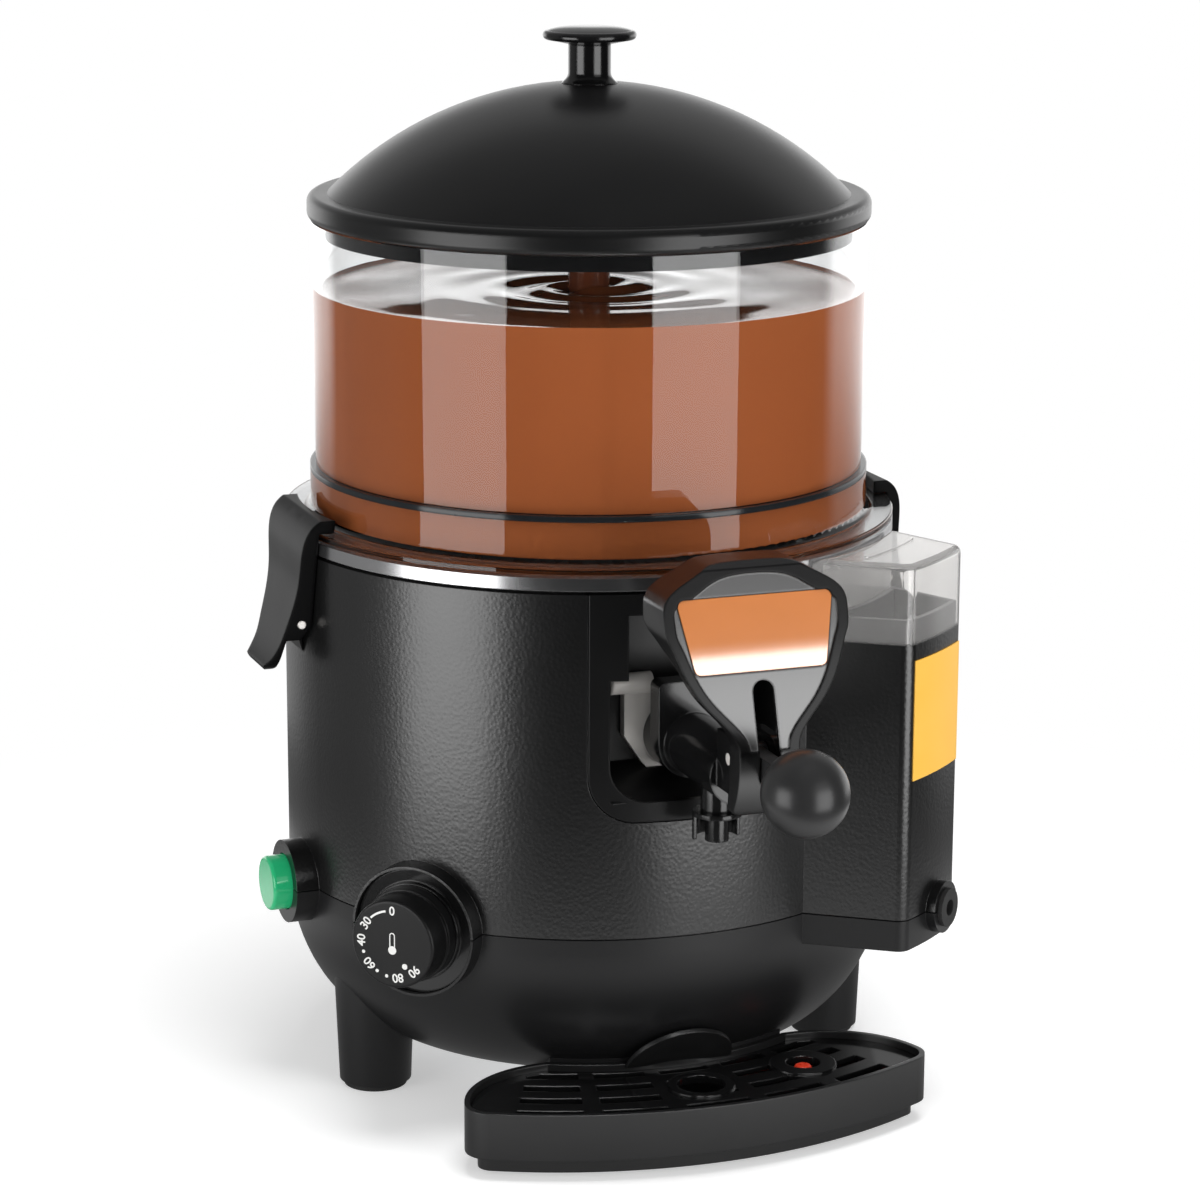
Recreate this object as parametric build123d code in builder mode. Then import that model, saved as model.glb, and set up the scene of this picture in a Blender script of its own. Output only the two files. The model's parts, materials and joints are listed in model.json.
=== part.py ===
from build123d import *
from math import asin, cos, degrees, radians, sin, sqrt
import os

os.makedirs("parts", exist_ok=True)

# Counter-top hot chocolate dispenser: heated pot, clear bowl, stirrer, tap and drip tray.
# The origin is on the body's axis at counter level, +Z is up and the tap points to -Y.
# Angles are taken from the front, positive towards +X.

# Fits
seat_gap = 0.3
slide_gap = 0.5
pin_gap = 0.05

# Body shells
body_radius = 136.0
shell_wall = 3.0
seam_z = 92.5
body_top_z = 243.0
seam_gap = 0.5
seam_groove = 1.0
dish_floor_z = 18.0
dish_flat_radius = body_radius - 54.0
dish_side_z = 85.0
top_lip_width = 10.0
base_hole_radius = dish_flat_radius - 14.0

# Legs and pads
leg_angles = (-78.5, 78.5, 142.0, -142.0)
leg_ring_radius = body_radius - 25.0
leg_foot_radius = 16.0
leg_top_radius = 18.5
leg_top_z = 66.0
pad_height = 2.5
pad_radius = 14.0
pad_plug_radius = 6.0
pad_plug_length = 9.0

# Base plate
base_plate_radius = dish_flat_radius - 5.0
base_plate_thickness = 2.0
base_screw_ring = dish_flat_radius - 9.5
base_screw_radius = 2.0
base_screw_head_radius = 3.8
base_screw_head_height = 2.0
base_screw_count = 4
base_screw_first_angle = 45.0

# Side column with its filler well and clear cover
column_angle = 39.0
column_root = body_radius - 24.0
column_root_half = 41.8
column_tip_radius = body_radius + 39.5
column_tip_half = 24.5
column_corner = 6.0
column_bottom_z = 79.0
column_top_z = 215.0
well_floor_z = 206.0
well_rim_z = 225.5
well_rim_wall = 2.4
cover_top_z = 250.0
cover_wall = 2.5
cover_edge = 3.0
cover_ridge_radius = body_radius + 16.0
cover_ridge_width = 2.0
cover_ridge_height = 0.8
cover_back_gap = 1.2
label_width = 42.0
label_low_z = 155.0
label_high_z = 208.0
label_thickness = 0.5

# Cord gland
gland_angle = 40.5
gland_boss_radius = 11.5
gland_boss_reach = 4.0
gland_radius = 8.5
gland_plug_radius = 6.0
gland_bore_radius = 3.6
gland_flange = 2.0

# Thermostat
dial_angle = -45.0
dial_across = -14.8
dial_boss_radius = 28.9
dial_boss_face = body_radius + 8.6
dial_recess_radius = dial_boss_radius - 1.2
dial_recess_floor = body_radius + 3.0
bezel_face = body_radius + 7.9
bezel_step = 2.1
bezel_step_radius = 21.5
dial_skirt_radius = 20.6
dial_skirt_height = 5.7
dial_radius = 19.4
dial_face = body_radius + 26.7
dial_edge = 1.2
dial_shaft_radius = 3.0
thermostat_neck_radius = 6.0
thermostat_size = 38.0
thermostat_depth = 17.0
thermostat_back = body_radius - 26.0

# Switch
switch_angle = -88.0
switch_boss_radius = 18.5
switch_boss_face = body_radius + 9.0
button_radius = 12.2
button_face = body_radius + 17.5
button_edge = 1.5
button_travel = 3.0
switch_depth = 13.0
switch_size = 26.0

# Pot, jacket and heater
pot_radius = body_radius - 46.0
sheet = 1.2
pot_floor_z = 118.0
rim_gap = 1.5
rim_height = 5.5
seal_inner_radius = body_radius - 14.0
seal_width = 10.0
jacket_radius = body_radius - 36.0
jacket_floor_z = 104.0
jacket_flange_width = 29.0
heater_ring_radius = pot_radius - 18.0
heater_tube_radius = 3.5
heater_leg_radius = 3.0
heater_leg_drop = 20.0
heater_leg_angles = (165.0, 195.0)

# Bowl and collar
gasket_thickness = 1.0
flange_thickness = 3.0
flange_inner_radius = body_radius - 24.0
collar_radius = body_radius - 12.0
collar_wall = 6.0
collar_height = 20.0
collar_fillet = 3.0
seam_ring_height = 2.5
bowl_height = 108.5
bowl_radius = collar_radius - 2.5
bowl_flare = 1.0
bowl_wall = 3.5

# Lid
lid_rim_height = 11.0
lid_rim_edge = 3.5
lid_skirt_radius = bowl_radius - 5.5
lid_skirt_drop = 7.0
lid_wall = 2.5
dome_foot_radius = collar_radius - 9.0
dome_height = 48.0
knob_seat_radius = 13.5
knob_height = 25.0
knob_radius = 20.6
knob_disc_height = 8.0
knob_edge = 2.0
knob_crown_slope = 0.4
knob_stem_radius = 9.4
knob_foot_radius = 12.5
knob_foot_height = 5.0
knob_screw_radius = 2.0
knob_screw_head_radius = 5.0
knob_screw_head_height = 3.0
knob_screw_length = 14.0

# Stirrer and drive
tube_radius = 7.0
tube_bore_radius = 4.6
tube_top_drop = 22.0
tube_foot_radius = 16.0
tube_foot_height = 3.0
shaft_radius = 4.0
shaft_top_drop = 13.0
column_outer_radius = 9.2
column_cap_height = 5.0
stirrer_lift = 2.0
hub_radius = 15.0
hub_height = 22.0
arm_reach = pot_radius - 10.0
arm_width = 9.0
arm_height = 6.0
scraper_height = 86.0
scraper_thickness = 4.0
blade_width = 20.0
blade_thickness = 3.0
blade_tilt = 35.0
gearbox_length = 92.0
gearbox_width = 64.0
gearbox_height = 26.0
gearbox_edge = 6.0
motor_radius = 27.0
motor_length = 42.0
motor_offset = 16.0

# Tap panel
panel_half_width = 46.5
panel_bottom_z = 144.0
panel_corner = 20.0
panel_gap = 0.4
pocket_half_width = 37.5
pocket_neck_half_width = 30.0
pocket_neck_z = 206.0
pocket_bottom_z = 153.0
pocket_top_z = 234.0
pocket_corner = 16.0
pocket_floor = body_radius - 30.0
pocket_wall = 3.0
pocket_ramp_z = 164.0

# Tap
tap_z = 176.0
barrel_radius = 13.0
barrel_front = body_radius + 46.0
spigot_radius = 11.0
tap_bore_radius = 7.5
tap_cap_thickness = 3.0
housing_radius = 15.5
housing_front = body_radius - 6.0
tap_block_half_width = 15.5
tap_block_depth = 10.0
tap_block_rise = 27.0
tap_block_edge = 3.0
lock_thickness = 5.0
lock_ring_radius = 20.0
lock_arm_reach = 24.0
lock_handle_radius = 4.5
lock_handle_inner = 12.0
lock_handle_length = 19.0
lock_handle_rise = 23.0
lock_handle_edge = 1.5
lock_arm_angle = 60.0
tap_seal_width = 3.0
nozzle_reach = body_radius + 22.0
nozzle_boss_radius = 7.0
nozzle_boss_z = 154.5
nozzle_bore_radius = 4.5
spout_radius = 5.0
spout_wall = 1.2
spout_z = 141.5
shroud_radius = 10.4
shroud_wall = 1.4
shroud_disc = 2.0
shroud_low_z = 142.5
yoke_inner_half = 6.0
yoke_low_z = 172.5
yoke_high_z = 197.0
yoke_front = barrel_front + 25.0
yoke_corner = 8.0

# Piston, spring and lever
piston_land = 11.0
piston_gap = 0.1
rod_radius = 3.6
ring_groove_radius = 5.9
ring_wire = 1.8
spring_wire = 1.0
spring_turns = 4
spring_radius = 5.4
spring_points = 40
tail_half_width = 4.5
tail_length = 9.0
tail_below = 4.5
tail_above = 2.0
tail_floor = 1.8
pivot_reach = barrel_front + 12.0
pivot_z = 187.0
pivot_radius = 2.5
lever_hub_radius = 6.0
lever_hub_half = 5.7
lever_half_thickness = 3.5
lever_half_height = 5.0
lever_travel = 45.0
tooth_arm = 11.0
tooth_radius = 2.2
tooth_neck = 2.6
stem_radius = 6.0
stem_start = pivot_reach + 31.0
ball_radius = 17.8
ball_reach = pivot_reach + 56.0

# Tap cover and badge
cowl_wall = 2.6
cowl_neck_half = 13.0
cowl_neck_corner = 3.0
cowl_bottom_z = 166.5
cowl_flare = ((15.5, 202.0), (25.0, 212.5), (33.5, 226.0), (38.0, 237.5), (39.8, 249.0))
cowl_crown = ((34.5, 258.5), (24.0, 264.3), (0.0, 268.0))
cowl_chin_reach = pivot_reach + 12.0
cowl_curl_reach = pivot_reach + 18.3
cowl_curl_z = 178.0
cowl_bend_reach = pivot_reach + 20.0
cowl_bend_z = 195.0
cowl_brow_reach = pivot_reach - 1.5
cowl_brow_z = 265.5
cowl_brow_depth = 4.0
cowl_top_z = 268.0
cowl_back_reach = pivot_reach - 20.0
cowl_back_z = 243.0
cowl_waist_reach = pivot_reach + 4.5
cowl_waist_z = 226.0
cowl_neck_back = pivot_reach + 9.5
cowl_tip_back = pivot_reach + 7.0
cowl_rim = 4.5
cowl_recess = 0.8
slot_half_width = 4.6
slot_low_z = 179.5
slot_high_z = 222.0
badge_low_z = 225.6
badge_high_z = 255.2
badge_low_half = 28.5
badge_high_half = 34.0
badge_corner = 3.0
badge_depth = 1.0
badge_gap = 0.2
badge_proud = 0.4

# Latches
latch_angles = (-90.0, 90.0)
latch_half_width = 30.0
latch_waist_half = 20.0
latch_waist_z = 209.5
latch_tail_half = 15.0
latch_tail_corner = 11.0
latch_hook_tip = body_radius - 6.0
latch_crest_reach = body_radius - 3.0
latch_top_z = 260.0
latch_bow = ((0.2, 257.5), (5.5, 233.5), (11.0, 209.5), (13.8, 201.5))
latch_tail_reach = body_radius + 19.0
latch_tail_z = 191.0
latch_tail_thickness = 6.0
latch_pin_reach = body_radius + 3.6
latch_pin_z = 213.0
latch_pin_radius = 1.8
latch_pin_half = 21.5
latch_heel = ((10.0, 205.7), (3.5, 205.7), (-2.0, 214.0))
latch_hollow_low_z = 200.0
latch_hollow_high_z = 248.0
latch_hollow_half = 16.0
latch_skin = 2.0
lug_half_width = 9.0
lug_height = 30.0
lug_nose_radius = 3.3

# Drip tray
tray_rim_z = 30.0
tray_face_height = 20.5
tray_lip_height = 7.0
tray_lip_inset = 5.5
tray_wall = 2.4
tray_back_radius = body_radius - 20.5
tray_back_half = 54.0
tray_front_reach = tray_back_radius + 60.0
tray_front_radius = 213.5
tray_end_half = 58.5
tray_end_reach = tray_back_radius + 33.6
tray_end_radius = 47.5
tray_corner_radius = 12.0
tray_floor = 2.0
tray_tongue_half = 20.0
tray_tongue_low_z = 13.0
tray_tongue_height = 3.0
tray_tongue_reach = tray_back_radius - 15.5
tab_radius = 24.0
tab_thickness = 2.0
tab_lean_top_reach = tray_back_radius + 12.0
tab_lean_top_z = 44.5
bracket_back_radius = tray_back_radius - 19.5
bracket_low_z = 9.0

# Grid and float
grid_thickness = 2.5
grid_drop = 3.0
grid_ledge = 1.6
grid_gap = 0.4
grid_row_count = 4
grid_row_step = 14.6
grid_first_row = 10.0
grid_slot_width = 6.5
front_turn = -90.0
grid_slot_turn = 8.0
grid_column_turn = 10.3
grid_half_columns = 2
grid_slot_margin = 0.3
cup_hole_reach = tray_back_radius + 28.0
cup_hole_radius = 10.5
cup_ring_width = 4.0
cup_ring_height = 1.0
float_x = 51.5
float_reach = tray_back_radius + 18.0
float_stem_radius = 4.0
float_hole_radius = 7.5
float_disc_radius = 9.5
float_disc_height = 5.0

# Heights worked out from the sizes above
rim_z = body_top_z + rim_gap + rim_height
collar_bottom_z = rim_z + gasket_thickness
flange_top_z = collar_bottom_z + flange_thickness
collar_top_z = collar_bottom_z + collar_height
bowl_bottom_z = collar_top_z + seam_ring_height
bowl_top_z = bowl_bottom_z + bowl_height
tube_top_z = bowl_top_z - tube_top_drop
shaft_top_z = bowl_top_z - shaft_top_drop
lid_rim_top_z = bowl_top_z + lid_rim_height
dome_top_z = lid_rim_top_z + dome_height
dome_radius = (dome_foot_radius**2 + dome_height**2) / (2 * dome_height)
knob_seat_z = dome_top_z - dome_radius + sqrt(dome_radius**2 - knob_seat_radius**2)
knob_top_z = knob_seat_z + knob_height
tray_face_z = tray_rim_z - tray_face_height
tray_bottom_z = tray_face_z - tray_lip_height
grid_top_z = tray_rim_z - grid_drop
grid_low_z = grid_top_z - grid_thickness


def outward(angle):
    """Horizontal direction at an angle from the front."""
    return (sin(radians(angle)), -cos(radians(angle)), 0.0)


def sideways(angle):
    """Horizontal direction across the outward one, towards larger angles."""
    return (cos(radians(angle)), sin(radians(angle)), 0.0)


def plan_plane(angle, z):
    """Level plane through the axis, with X pointing outward at the angle."""
    return Plane(origin=(0, 0, z), x_dir=outward(angle), z_dir=(0, 0, 1))


def side_plane(angle):
    """Upright plane through the axis, with X outward at the angle and Y up."""
    across = sideways(angle)
    return Plane(origin=(0, 0, 0), x_dir=outward(angle), z_dir=(-across[0], -across[1], 0))


def face_plane(angle, reach, z, across=0.0):
    """Upright plane that faces outward at the angle, a distance from the axis, with Y up."""
    ahead = outward(angle)
    aside = sideways(angle)
    centre = (ahead[0] * reach + aside[0] * across, ahead[1] * reach + aside[1] * across, z)
    return Plane(origin=centre, x_dir=aside, z_dir=ahead)


def dial_plane(reach):
    """Upright plane across the dial's axis, which runs to one side of the body's axis."""
    return face_plane(dial_angle, reach, seam_z, dial_across)


def front_plane(reach, z=0.0):
    """Upright plane that faces the front, with X to the right and Y up."""
    return face_plane(0.0, reach, z)


def disc(plane, radius, amount, mode=Mode.ADD):
    """Round bar of a radius that grows from a plane."""
    with BuildSketch(plane, mode=Mode.PRIVATE) as section:
        Circle(radius)
    extrude(section.sketch, amount=amount, mode=mode)


def ring(z, outer, inner, height, mode=Mode.ADD):
    """Level ring about the body's axis."""
    with BuildSketch(Plane.XY.offset(z), mode=Mode.PRIVATE) as section:
        Circle(outer)
        Circle(inner, mode=Mode.SUBTRACT)
    extrude(section.sketch, amount=height, mode=mode)


def body_section(inset):
    """Half section of the body from its axis, drawn inside its outer skin."""
    side = body_radius - inset
    floor = dish_floor_z + inset
    with BuildSketch(Plane.XZ, mode=Mode.PRIVATE) as section:
        with BuildLine():
            base = Line((0, floor), (dish_flat_radius, floor))
            bend = EllipticalCenterArc(
                (dish_flat_radius, dish_side_z),
                side - dish_flat_radius,
                dish_side_z - floor,
                start_angle=270,
                arc_size=90,
            )
            wall = Line(bend @ 1, (side, body_top_z))
            top = Line(wall @ 1, (0, body_top_z))
            Line(top @ 1, base @ 0)
        make_face()
    return section.sketch


def column_outline(z, inset=0.0, clear_radius=0.0):
    """Plan of the side column: two splayed walls and a tip that is round about the axis."""
    corner = sqrt(column_tip_radius**2 - column_tip_half**2)
    with BuildSketch(plan_plane(column_angle, z), mode=Mode.PRIVATE) as outline:
        with BuildLine():
            near = Line((column_root, -column_root_half), (corner, -column_tip_half))
            tip = ThreePointArc(near @ 1, (column_tip_radius, 0), (corner, column_tip_half))
            far = Line(tip @ 1, (column_root, column_root_half))
            Line(far @ 1, near @ 0)
        make_face()
        fillet(outline.vertices().sort_by(Axis.X)[-2:], column_corner)
        if inset:
            offset(amount=-inset, mode=Mode.REPLACE)
        if clear_radius:
            Circle(clear_radius + inset, mode=Mode.SUBTRACT)
    return outline.sketch


def body_blank():
    """Both shells in one: dish, wall, side column and the bosses, hollowed out."""
    revolve(body_section(0.0), axis=Axis.Z)
    extrude(column_outline(column_bottom_z), amount=column_top_z - column_bottom_z)
    for angle, across, radius, face in (
        (dial_angle, dial_across, dial_boss_radius, dial_boss_face),
        (switch_angle, 0.0, switch_boss_radius, switch_boss_face),
        (gland_angle, 0.0, gland_boss_radius, column_tip_radius + gland_boss_reach),
    ):
        root = face_plane(angle, body_radius - dial_boss_radius, seam_z, across)
        disc(root, radius, face - body_radius + dial_boss_radius)
    for angle in leg_angles:
        ahead = outward(angle)
        with Locations((ahead[0] * leg_ring_radius, ahead[1] * leg_ring_radius, pad_height)):
            Cone(
                leg_foot_radius,
                leg_top_radius,
                leg_top_z - pad_height,
                align=(Align.CENTER, Align.CENTER, Align.MIN),
            )
    revolve(body_section(shell_wall), axis=Axis.Z, mode=Mode.SUBTRACT)
    hollow = column_outline(column_bottom_z + shell_wall, shell_wall)
    extrude(hollow, amount=well_floor_z - 2 * shell_wall - column_bottom_z, mode=Mode.SUBTRACT)
    dial_recess = dial_plane(dial_recess_floor)
    disc(dial_recess, dial_recess_radius, body_radius, Mode.SUBTRACT)
    dial_hole = dial_plane(thermostat_back)
    disc(dial_hole, thermostat_neck_radius + seat_gap, body_radius, Mode.SUBTRACT)
    switch_hole = face_plane(switch_angle, thermostat_back, seam_z)
    disc(switch_hole, button_radius + slide_gap, body_radius, Mode.SUBTRACT)
    gland_hole = face_plane(gland_angle, column_tip_radius - 2 * shell_wall, seam_z)
    disc(gland_hole, gland_plug_radius + seat_gap, body_radius, Mode.SUBTRACT)


def panel_outline(reach, shrink):
    """Front view of the tap panel: a tall plate with a round-cornered lower edge."""
    half = panel_half_width - shrink
    low = panel_bottom_z + shrink
    with BuildSketch(front_plane(reach), mode=Mode.PRIVATE) as outline:
        with Locations((0, low)):
            Rectangle(2 * half, body_top_z - low, align=(Align.CENTER, Align.MIN))
        fillet(outline.vertices().group_by(Axis.Y)[0], panel_corner - shrink)
    return outline.sketch


def spot(angle, reach, z):
    """Point at an angle from the front, a distance from the axis and a height."""
    ahead = outward(angle)
    return (ahead[0] * reach, ahead[1] * reach, z)


def leg_plane(angle, z):
    """Level plane on the middle line of a leg."""
    return Plane(origin=spot(angle, leg_ring_radius, z))


def nozzle_plane(z):
    """Level plane on the middle line of the nozzle."""
    return Plane(origin=(0, -nozzle_reach, z))


def cap_outline(z, inset):
    """Plan of the column outside the body, where the clear cover stands."""
    return column_outline(z, inset, body_radius + cover_back_gap)


def pocket_outline(reach, grow):
    """Front view of the tap panel's pocket: broad below for the lock, narrower above."""
    low = pocket_bottom_z - grow
    with BuildSketch(front_plane(reach), mode=Mode.PRIVATE) as outline:
        with Locations((0, low)):
            Rectangle(
                2 * (pocket_half_width + grow),
                pocket_neck_z + grow - low,
                align=(Align.CENTER, Align.MIN),
            )
        fillet(outline.vertices().group_by(Axis.Y)[0], pocket_corner + grow)
        with Locations((0, pocket_neck_z)):
            Rectangle(
                2 * (pocket_neck_half_width + grow),
                pocket_top_z + grow - pocket_neck_z,
                align=(Align.CENTER, Align.MIN),
            )
    return outline.sketch


def cowl_side(inset):
    """Side view of the tap cover: curled tip, leaning face, brow and open back."""
    back = cowl_back_reach - inset
    with BuildSketch(side_plane(0.0), mode=Mode.PRIVATE) as outline:
        with BuildLine():
            chin = Line(
                (cowl_tip_back - inset, cowl_bottom_z + inset),
                (cowl_chin_reach - inset, cowl_bottom_z + inset),
            )
            curl = ThreePointArc(
                chin @ 1,
                (cowl_curl_reach - inset, cowl_curl_z),
                (cowl_bend_reach - inset, cowl_bend_z),
            )
            face = Line(curl @ 1, (cowl_brow_reach - inset, cowl_brow_z))
            brow = Line(face @ 1, (cowl_brow_reach - cowl_brow_depth - inset, cowl_top_z - inset))
            Polyline(
                brow @ 1,
                (back, cowl_top_z - inset),
                (back, cowl_back_z),
                (cowl_waist_reach - inset, cowl_waist_z),
                (cowl_neck_back - inset, cowl_bend_z),
                chin @ 0,
            )
        make_face()
    return outline.sketch


def cowl_front(inset):
    """Front view of the tap cover: rounded neck, flare and broad head."""
    neck = cowl_neck_half - inset
    low = cowl_bottom_z + inset
    flare = [(half - inset, z) for half, z in cowl_flare]
    crown = [(max(half - inset, 0), z - inset) for half, z in cowl_crown]
    with BuildSketch(front_plane(cowl_back_reach - cowl_wall), mode=Mode.PRIVATE) as outline:
        with BuildLine():
            base = Line((0, low), (neck - cowl_neck_corner, low))
            corner = RadiusArc(base @ 1, (neck, low + cowl_neck_corner), -cowl_neck_corner)
            side = Line(corner @ 1, (neck, cowl_bend_z))
            swell = Spline(side @ 1, *flare, tangents=((0, 1), (0, 1)))
            top = Spline(swell @ 1, *crown, tangents=((0, 1), (-1, 0)))
            Line(top @ 1, base @ 0)
        make_face()
        mirror(about=Plane.YZ)
    return outline.sketch


def cowl_blank(inset):
    """Solid of the tap cover, or of the space inside it."""
    with BuildPart(mode=Mode.PRIVATE) as blank:
        extrude(cowl_side(inset), amount=body_radius, both=True)
        extrude(cowl_front(inset), amount=body_radius, mode=Mode.INTERSECT)
    return blank.part


def cowl_face_recess():
    """Shallow space in the leaning face, inside its raised rim."""
    with BuildPart(mode=Mode.PRIVATE) as recess:
        with BuildSketch(side_plane(0.0)):
            with BuildLine():
                Polyline(
                    (cowl_bend_reach - cowl_recess, cowl_bend_z),
                    (cowl_brow_reach - cowl_recess, cowl_brow_z),
                    (cowl_bend_reach, cowl_brow_z),
                    (cowl_bend_reach, cowl_bend_z),
                    close=True,
                )
            make_face()
        extrude(amount=body_radius, both=True)
        extrude(cowl_front(cowl_rim), amount=body_radius, mode=Mode.INTERSECT)
    return recess.part


face_slope = (cowl_bend_reach - cowl_brow_reach) / (cowl_brow_z - cowl_bend_z)


def badge_outline(lift, shrink):
    """Badge on the leaning face: a plate that narrows downwards, with rounded corners."""
    middle_z = (badge_low_z + badge_high_z) / 2
    reach = cowl_bend_reach - face_slope * (middle_z - cowl_bend_z)
    up = Vector(0, cowl_bend_reach - cowl_brow_reach, cowl_brow_z - cowl_bend_z).normalized()
    normal = Vector(1, 0, 0).cross(up)
    plane = Plane(origin=(0, -reach, middle_z), x_dir=(1, 0, 0), z_dir=normal).offset(lift)
    half_rise = (badge_high_z - badge_low_z) / 2 * sqrt(1 + face_slope**2) - shrink
    with BuildSketch(plane, mode=Mode.PRIVATE) as outline:
        with BuildLine():
            Polyline(
                (-badge_low_half + shrink, -half_rise),
                (badge_low_half - shrink, -half_rise),
                (badge_high_half - shrink, half_rise),
                (-badge_high_half + shrink, half_rise),
                close=True,
            )
        make_face()
        fillet(outline.vertices(), badge_corner - shrink)
    return outline.sketch


def latch_pin_plane(angle):
    """Plane at one end of a latch pin, facing along it."""
    aside = sideways(angle)
    x, y, z = spot(angle, latch_pin_reach, latch_pin_z)
    start = (x - aside[0] * latch_pin_half, y - aside[1] * latch_pin_half, z)
    return Plane(origin=start, z_dir=aside)


def latch_profile(angle):
    """Side view of a latch: hook, leaning outer face and flicked-out tail."""
    bow = [(body_radius + lift, z) for lift, z in latch_bow]
    heel = [(body_radius + lift, z) for lift, z in latch_heel]
    tail_back = latch_tail_reach - latch_tail_thickness
    tail_middle_z = latch_tail_z + latch_tail_thickness / 2
    with BuildSketch(side_plane(angle), mode=Mode.PRIVATE) as outline:
        with BuildLine():
            crest = Line((collar_radius, latch_top_z), (latch_crest_reach, latch_top_z))
            face = Spline(crest @ 1, *bow, (latch_tail_reach, tail_middle_z))
            end = RadiusArc(face @ 1, (tail_back, tail_middle_z), latch_tail_thickness / 2)
            Polyline(end @ 1, *heel, (collar_radius, heel[-1][1]), crest @ 0)
        make_face()
    return outline.sketch


def latch_hollow(angle):
    """Side view of the space in a latch that its lug stands in."""
    skin = [(body_radius + lift - latch_skin, z) for lift, z in latch_bow]
    with BuildSketch(side_plane(angle), mode=Mode.PRIVATE) as outline:
        with BuildLine():
            Polyline(
                (collar_radius, latch_hollow_low_z),
                (skin[2][0], latch_hollow_low_z),
                skin[2],
                skin[1],
                (skin[0][0], latch_hollow_high_z),
                (collar_radius, latch_hollow_high_z),
                close=True,
            )
        make_face()
    return outline.sketch


def latch_front(angle):
    """Front view of a latch: broad at the hook, narrow at the tail."""
    with BuildSketch(face_plane(angle, collar_radius, 0.0), mode=Mode.PRIVATE) as outline:
        with BuildLine():
            Polyline(
                (-latch_half_width, latch_top_z),
                (-latch_waist_half, latch_waist_z),
                (-latch_tail_half, latch_tail_z),
                (latch_tail_half, latch_tail_z),
                (latch_waist_half, latch_waist_z),
                (latch_half_width, latch_top_z),
                close=True,
            )
        make_face()
        fillet(outline.vertices().group_by(Axis.Y)[0], latch_tail_corner)
    return outline.sketch


def latch_body(angle):
    """One latch at its place, cut round for the wall and the collar, and bored for its pin."""
    extrude(latch_profile(angle), amount=latch_half_width, both=True)
    extrude(latch_front(angle), amount=body_radius, mode=Mode.INTERSECT)
    disc(Plane.XY, body_radius + slide_gap, flange_top_z + seat_gap, Mode.SUBTRACT)
    disc(Plane.XY, latch_hook_tip, bowl_top_z, Mode.SUBTRACT)
    extrude(latch_hollow(angle), amount=latch_hollow_half, both=True, mode=Mode.SUBTRACT)
    disc(latch_pin_plane(angle), latch_pin_radius + pin_gap, 2 * latch_pin_half, Mode.SUBTRACT)


tab_plane = Plane(
    origin=(0, -tray_back_radius, tray_rim_z),
    x_dir=(1, 0, 0),
    z_dir=(0, tray_rim_z - tab_lean_top_z, tray_back_radius - tab_lean_top_reach),
)


def tray_outline(z, inset):
    """Plan of the drip tray, its edge drawn in by inset: round ends, bowed front, hollow back."""
    with BuildSketch(Plane.XY.offset(z), mode=Mode.PRIVATE) as outline:
        with Locations((0, -tray_end_reach)):
            SlotCenterToCenter(2 * tray_end_half, 2 * (tray_end_radius - inset))
        with Locations((0, tray_front_radius - tray_front_reach)):
            Circle(tray_front_radius - inset, mode=Mode.INTERSECT)
        Circle(tray_back_radius + inset, mode=Mode.SUBTRACT)
        fillet(outline.vertices().sort_by(Axis.Y)[:2], tray_corner_radius - inset)
    return outline.sketch


def grid_slots():
    """Rows of slots along the tray's front, clipped to the plate and clear of its two rings."""
    bow_centre = (0, tray_front_radius - tray_front_reach)
    with BuildSketch(Plane.XY.offset(grid_low_z), mode=Mode.PRIVATE) as slots:
        for row in range(grid_row_count):
            radius = tray_front_radius - grid_first_row - row * grid_row_step
            for column in range(-grid_half_columns, grid_half_columns + 1):
                first_turn = front_turn + column * grid_column_turn - grid_slot_turn / 2
                with BuildLine():
                    CenterArc(bow_centre, radius, first_turn, grid_slot_turn)
                trace(line_width=grid_slot_width)
        for x, reach in grid_rings:
            with Locations((x, -reach)):
                Circle(cup_hole_radius + cup_ring_width + grid_slot_margin, mode=Mode.SUBTRACT)
        clear_edge = tray_wall + grid_gap + grid_ledge + grid_slot_margin
        add(tray_outline(grid_low_z, clear_edge), mode=Mode.INTERSECT)
    return slots.sketch


grid_rings = ((0.0, cup_hole_reach), (float_x, float_reach))
tooth_swing = radians(lever_travel / 2)
tooth_reach = pivot_reach - tooth_arm * sin(tooth_swing)
tooth_tip_z = pivot_z - tooth_arm * cos(tooth_swing)
lever_pin_plane = Plane(origin=(-barrel_radius, -pivot_reach, pivot_z), z_dir=(1, 0, 0))
screw_step = 360 / base_screw_count
screw_angles = [base_screw_first_angle + turn * screw_step for turn in range(base_screw_count)]


# Lower shell: dish with four moulded legs and the lower half of each boss
with BuildPart() as lower_shell:
    body_blank()
    split(bisect_by=Plane.XY.offset(seam_z), keep=Keep.BOTTOM)
    disc(Plane.XY.offset(dish_floor_z - shell_wall), base_hole_radius, 3 * shell_wall, Mode.SUBTRACT)
    for angle in leg_angles:
        disc(leg_plane(angle, pad_height), pad_plug_radius + seat_gap, pad_plug_length, Mode.SUBTRACT)
    for angle in screw_angles:
        hole = Plane(origin=spot(angle, base_screw_ring, dish_floor_z - shell_wall))
        disc(hole, base_screw_radius, 3 * shell_wall, Mode.SUBTRACT)
lower_shell.part.label = "lower_shell"
export_step(lower_shell.part, "parts/lower_shell.step")

# Foot pads: rubber discs, each with a plug that sits in its leg
with BuildPart() as foot_pads:
    for angle in leg_angles:
        disc(leg_plane(angle, 0.0), pad_radius, pad_height)
        disc(leg_plane(angle, pad_height), pad_plug_radius, pad_plug_length - seat_gap)
foot_pads.part.label = "foot_pads"
export_step(foot_pads.part, "parts/foot_pads.step")

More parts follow.
